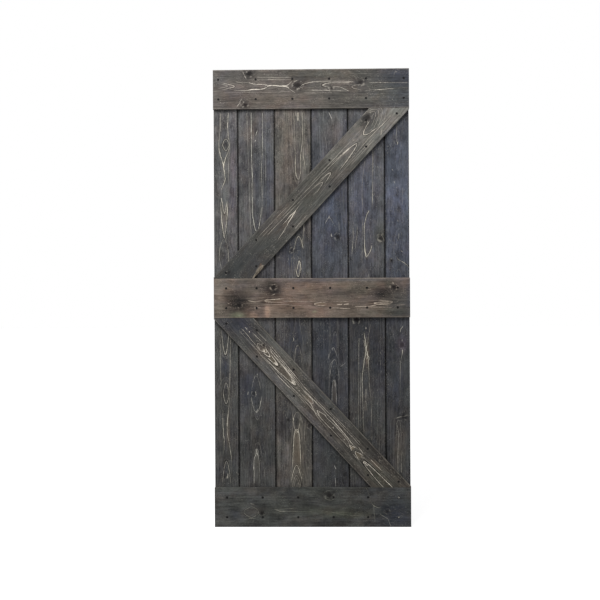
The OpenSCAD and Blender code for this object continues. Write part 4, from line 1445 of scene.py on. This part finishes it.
def black_phosphate():
    """A matt black crystal coat, with a painted glint of pale steel at the right-hand end of the
    bottom rail.
    """
    material, tree, shader = new_material("black_phosphate", specular=0.25)
    x, y, z = object_place(tree)
    grain = noise(vector(tree, x, y, z), scale=2500.0, detail=3.0, roughness=0.6)
    right = ((x - GLINT_X) / GLINT_WIDTH).bell() * z.smooth(GLINT_TOP, GLINT_TOP - 10 * MM)
    # Pale steel on two heads: a painted glint, in the look of a coat rubbed through.
    rubbed_and_highlight = right * y.smooth(front_y + 1.2 * MM, front_y + 0.8 * MM) * grain.smooth(0.35, 0.55)
    colour = mix(grain.smooth(0.3, 0.7), COAT_DARK, COAT_PALE)
    plug(tree, mix(rubbed_and_highlight, colour, GLINT_STEEL), shader.inputs["Base Color"])
    plug(tree, grain * 0.25 + 0.42, shader.inputs["Roughness"])
    relief(shader, grain, strength=0.3, distance=0.05 * MM)
    return material


blackened = black_phosphate()
print(blackened.name, len(blackened.node_tree.nodes), "nodes")

# %% Turn every screw
QUARTER_TURN = 1.57
random.seed(12)
for node in screw_nodes:
    mesh = bmesh.new()
    for low, high in boxes[node]:
        middle = Vector(((low.x + high.x) / 2, low.y, (low.z + high.z) / 2))
        turn = Matrix.Rotation(random.uniform(0, QUARTER_TURN), 3, "Y")
        rings = screw_rings((high.x - low.x) / 2, high.y - low.y)
        skin(mesh, [[middle + turn @ point for point in ring] for ring in rings])
    screws = piece_from(mesh, node + "_threaded", blackened)
    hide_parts(node)
    solids[node].data.materials.clear()
    solids[node].data.materials.append(blackened)
    print(screws.name, len(screws.data.polygons), "faces")

# %% [markdown]
# ## Raised fibres around each head
# Driving a countersunk screw crushes the pine: fibres stand up in a low ragged rim around the
# head, and the wet stain pools against it. The ring is nearly black, partly for that pooled
# stain and partly as painted shade in the hollow around the head. That dark ring, not the
# head, is what the eye reads as a screw from across a room. It could be painted in the wood's
# material, but a rim that really stands proud also catches light, so it is a thin dished ring.

# %% Pooled stain and painted shade
POOL_AND_SHADE_DARK, POOL_AND_SHADE_PALE = (0.006, 0.006, 0.006), (0.022, 0.020, 0.019)


def pooled_stain():
    """Nearly black, partly pooled stain and partly painted shade, and a little glossier where it dried
    thick.
    """
    material, tree, shader = new_material("pooled_stain", specular=0.15)
    grain = noise(vector(tree, *object_place(tree)), scale=900.0, detail=3.0, roughness=0.6)
    colour = mix(grain.smooth(0.35, 0.7), POOL_AND_SHADE_DARK, POOL_AND_SHADE_PALE)
    plug(tree, colour, shader.inputs["Base Color"])
    plug(tree, grain * 0.3 + 0.5, shader.inputs["Roughness"])
    return material


# %% The rims
# Millimetres out from the head's edge and down from the face, from the head outwards.
RIM_PROFILE = ((-0.05, 0.5), (0.10, -0.10), (0.45, -0.22), (0.95, -0.12), (1.5, 0.06))
RAGGED = (0.75, 1.25)
stain_and_shade_ring = pooled_stain()
for held in ("top_rail", "middle_rail", "bottom_rail", "upper_brace", "lower_brace"):
    mesh = bmesh.new()
    for low, high in boxes[held + "_screws"]:
        middle = Vector(((low.x + high.x) / 2, front_y, (low.z + high.z) / 2))
        head = (high.x - low.x) / 2
        ragged = [random.uniform(*RAGGED) for i in range(SIDES)]
        rings = []
        for out, depth in RIM_PROFILE:
            radii = [head + out * MM * rough for rough in ragged]
            sunk = [depth * MM * ragged[-i] for i in range(SIDES)]
            rings.append([
                middle + Vector((radius * math.cos(turn), deep, radius * math.sin(turn)))
                for radius, deep, turn in zip(radii, sunk, TURNS)
            ])
        skin(mesh, rings, capped=False)
    rims = piece_from(mesh, held + "_screw_rims", stain_and_shade_ring)
    print(rims.name, len(rims.data.polygons), "faces")

# %% [markdown]
# ## The torn edge of the upper brace
# A strip of the upper brace's lower edge tore out near its foot, after the stain was on. The
# solid has the hollow and the brace's own material has the raw colour, but a tear is never
# clean: splinters are left in it. Bump would show them only as lines. So they are separate
# slivers, long thin wedges that lie along the grain and lift at one end, where they catch
# the light.

# %% Raw pine
SPLIT_DARK, SPLIT_PALE = (0.09, 0.071, 0.054), (0.32, 0.28, 0.222)


def raw_pine():
    """Pine that never took stain, pale and brown in strips along the fibres."""
    material, tree, shader = new_material("raw_pine", specular=0.2)
    strip = raw_strips(*board_flows(tree, "upper_brace"), scale=700.0)
    plug(tree, mix(strip, SPLIT_DARK, SPLIT_PALE), shader.inputs["Base Color"])
    plug(tree, strip * 0.15 + 0.7, shader.inputs["Roughness"])
    return material


# %% Splinters
# Millimetres along and across the brace, and ranges that each splinter draws from.
SPLINTERS = 16
TEAR_FIRST, TEAR_LAST, TEAR_EDGE, TEAR_INNER = 122, 196, -138.5, -121
LENGTHS, HALF_WIDTHS, RISES, SUNK = (16, 38), (0.6, 1.6), (0.2, 1.2), (-0.2, 0.7)
along_axis, across_axis, brace_corner = board_axes("upper_brace")
random.seed(5)
mesh = bmesh.new()
for i in range(SPLINTERS):
    start = random.uniform(TEAR_FIRST, TEAR_LAST - 24)
    length = random.uniform(*LENGTHS)
    reach = (start - TEAR_FIRST) / (TEAR_LAST - TEAR_FIRST)
    middle = TEAR_EDGE + 2 + random.uniform(0.5, 2 + (TEAR_INNER - TEAR_EDGE) * reach)
    width = random.uniform(*HALF_WIDTHS)
    rise = random.uniform(*RISES)
    sunk = random.uniform(*SUNK)
    rings = []
    for share in (0.0, 0.25, 0.5, 0.75, 1.0):
        taper = max(0.04, math.sin(math.pi * (0.12 + share * 0.86)))
        centre = along_axis * (start + length * share) + across_axis * (middle + share * rise)
        lift = sunk - rise * share * share
        wedge = [
            centre + across_axis * side * width * taper + Vector((0, lift + deep, 0))
            for side, deep in ((-1, 0.3), (1, 0.3), (0, -0.5 * taper))
        ]
        rings.append([brace_corner + point * MM for point in wedge])
    skin(mesh, rings)
splinters = piece_from(mesh, "torn_fibres", raw_pine(), smooth=False)
print("splinters:", len(splinters.data.polygons), "faces")

# %% [markdown]
# ## The studio
# The door stands on a pale sweep of paper, lit softly from the upper left. A studio lights
# its paper apart from the product, so that it comes out nearly white without a flood of light
# from below. A second set of lamps could do that. Here the paper and the sky simply look
# brighter than the light that they give, through the Light Path node.

# %% Seen directly, or light on its way
def when_seen(tree):
    """1 for what the camera sees directly, 0 for light that travels on."""
    return Flow(tree, tree.nodes.new("ShaderNodeLightPath").outputs["Is Camera Ray"])


# %% The paper floor
FLOOR_HALF, FLOOR_ROUGHNESS = 40.0, 0.9
FLOOR_ALBEDO, FLOOR_GLOW = 0.6, 0.72

floor_mesh = bpy.data.meshes.new("studio_floor")
corners = [(x * FLOOR_HALF, y * FLOOR_HALF, 0) for x, y in ((-1, -1), (1, -1), (1, 1), (-1, 1))]
floor_mesh.from_pydata(corners, [], [(0, 1, 2, 3)])
floor = bpy.data.objects.new("studio_floor", floor_mesh)
scene.collection.objects.link(floor)

pale_floor, floor_tree, floor_shader = new_material("pale_floor", specular=0.1)
floor_shader.inputs["Base Color"].default_value = (FLOOR_ALBEDO, FLOOR_ALBEDO, FLOOR_ALBEDO, 1)
floor_shader.inputs["Roughness"].default_value = FLOOR_ROUGHNESS
floor_shader.inputs["Emission Color"].default_value = (1, 1, 1, 1)
plug(floor_tree, when_seen(floor_tree) * FLOOR_GLOW, floor_shader.inputs["Emission Strength"])
floor_mesh.materials.append(pale_floor)
print("floor:", 2 * FLOOR_HALF, "m wide")

# %% The sky
SKY_LIGHT, SKY_SEEN = 0.5, 1.0

world = bpy.data.worlds.new("studio")
scene.world = world
world.use_nodes = True
sky = world.node_tree.nodes["Background"]
sky.inputs["Color"].default_value = (1, 1, 1, 1)
strength = when_seen(world.node_tree).smooth(0.0, 1.0, SKY_LIGHT, SKY_SEEN)
plug(world.node_tree, strength, sky.inputs["Strength"])
print("sky strength:", SKY_LIGHT, "as light,", SKY_SEEN, "as seen")


# %% One soft window of light
def soft_light(name, place, target, size, power):
    """A square area light that faces its target; size in metres, power in watts."""
    data = bpy.data.lights.new(name, "AREA")
    data.shape = "SQUARE"
    data.size = size
    data.energy = power
    light = bpy.data.objects.new(name, data)
    light.location = place
    light.rotation_euler = (Vector(target) - Vector(place)).to_track_quat("-Z", "Y").to_euler()
    scene.collection.objects.link(light)
    print(name, "light:", power, "W")


soft_light("window", place=(-0.9, -2.2, 3.7), target=(0.0, 0.0, 1.2), size=1.6, power=105)

# %% [markdown]
# ## The camera
# A door is shown best almost square on, from chest height, so that its rails stay level and
# its width and height can be compared. An orthographic camera would do that exactly, and look
# like a drawing. A lens at five metres, tilted by a hair, keeps the slight lean of a real room.

# %% Camera
camera_data = bpy.data.cameras.new("camera")
camera = bpy.data.objects.new("camera", camera_data)
scene.collection.objects.link(camera)
bpy.context.scene.camera = camera
camera_data.angle = math.radians(31.33)
camera.location = (0.059, -5.0, 1.043)
camera.rotation_euler = (math.radians(90.165), math.radians(0.28), math.radians(1.31))
scene.view_settings.view_transform = "Standard"
print("camera:", [round(v, 3) for v in camera.location])
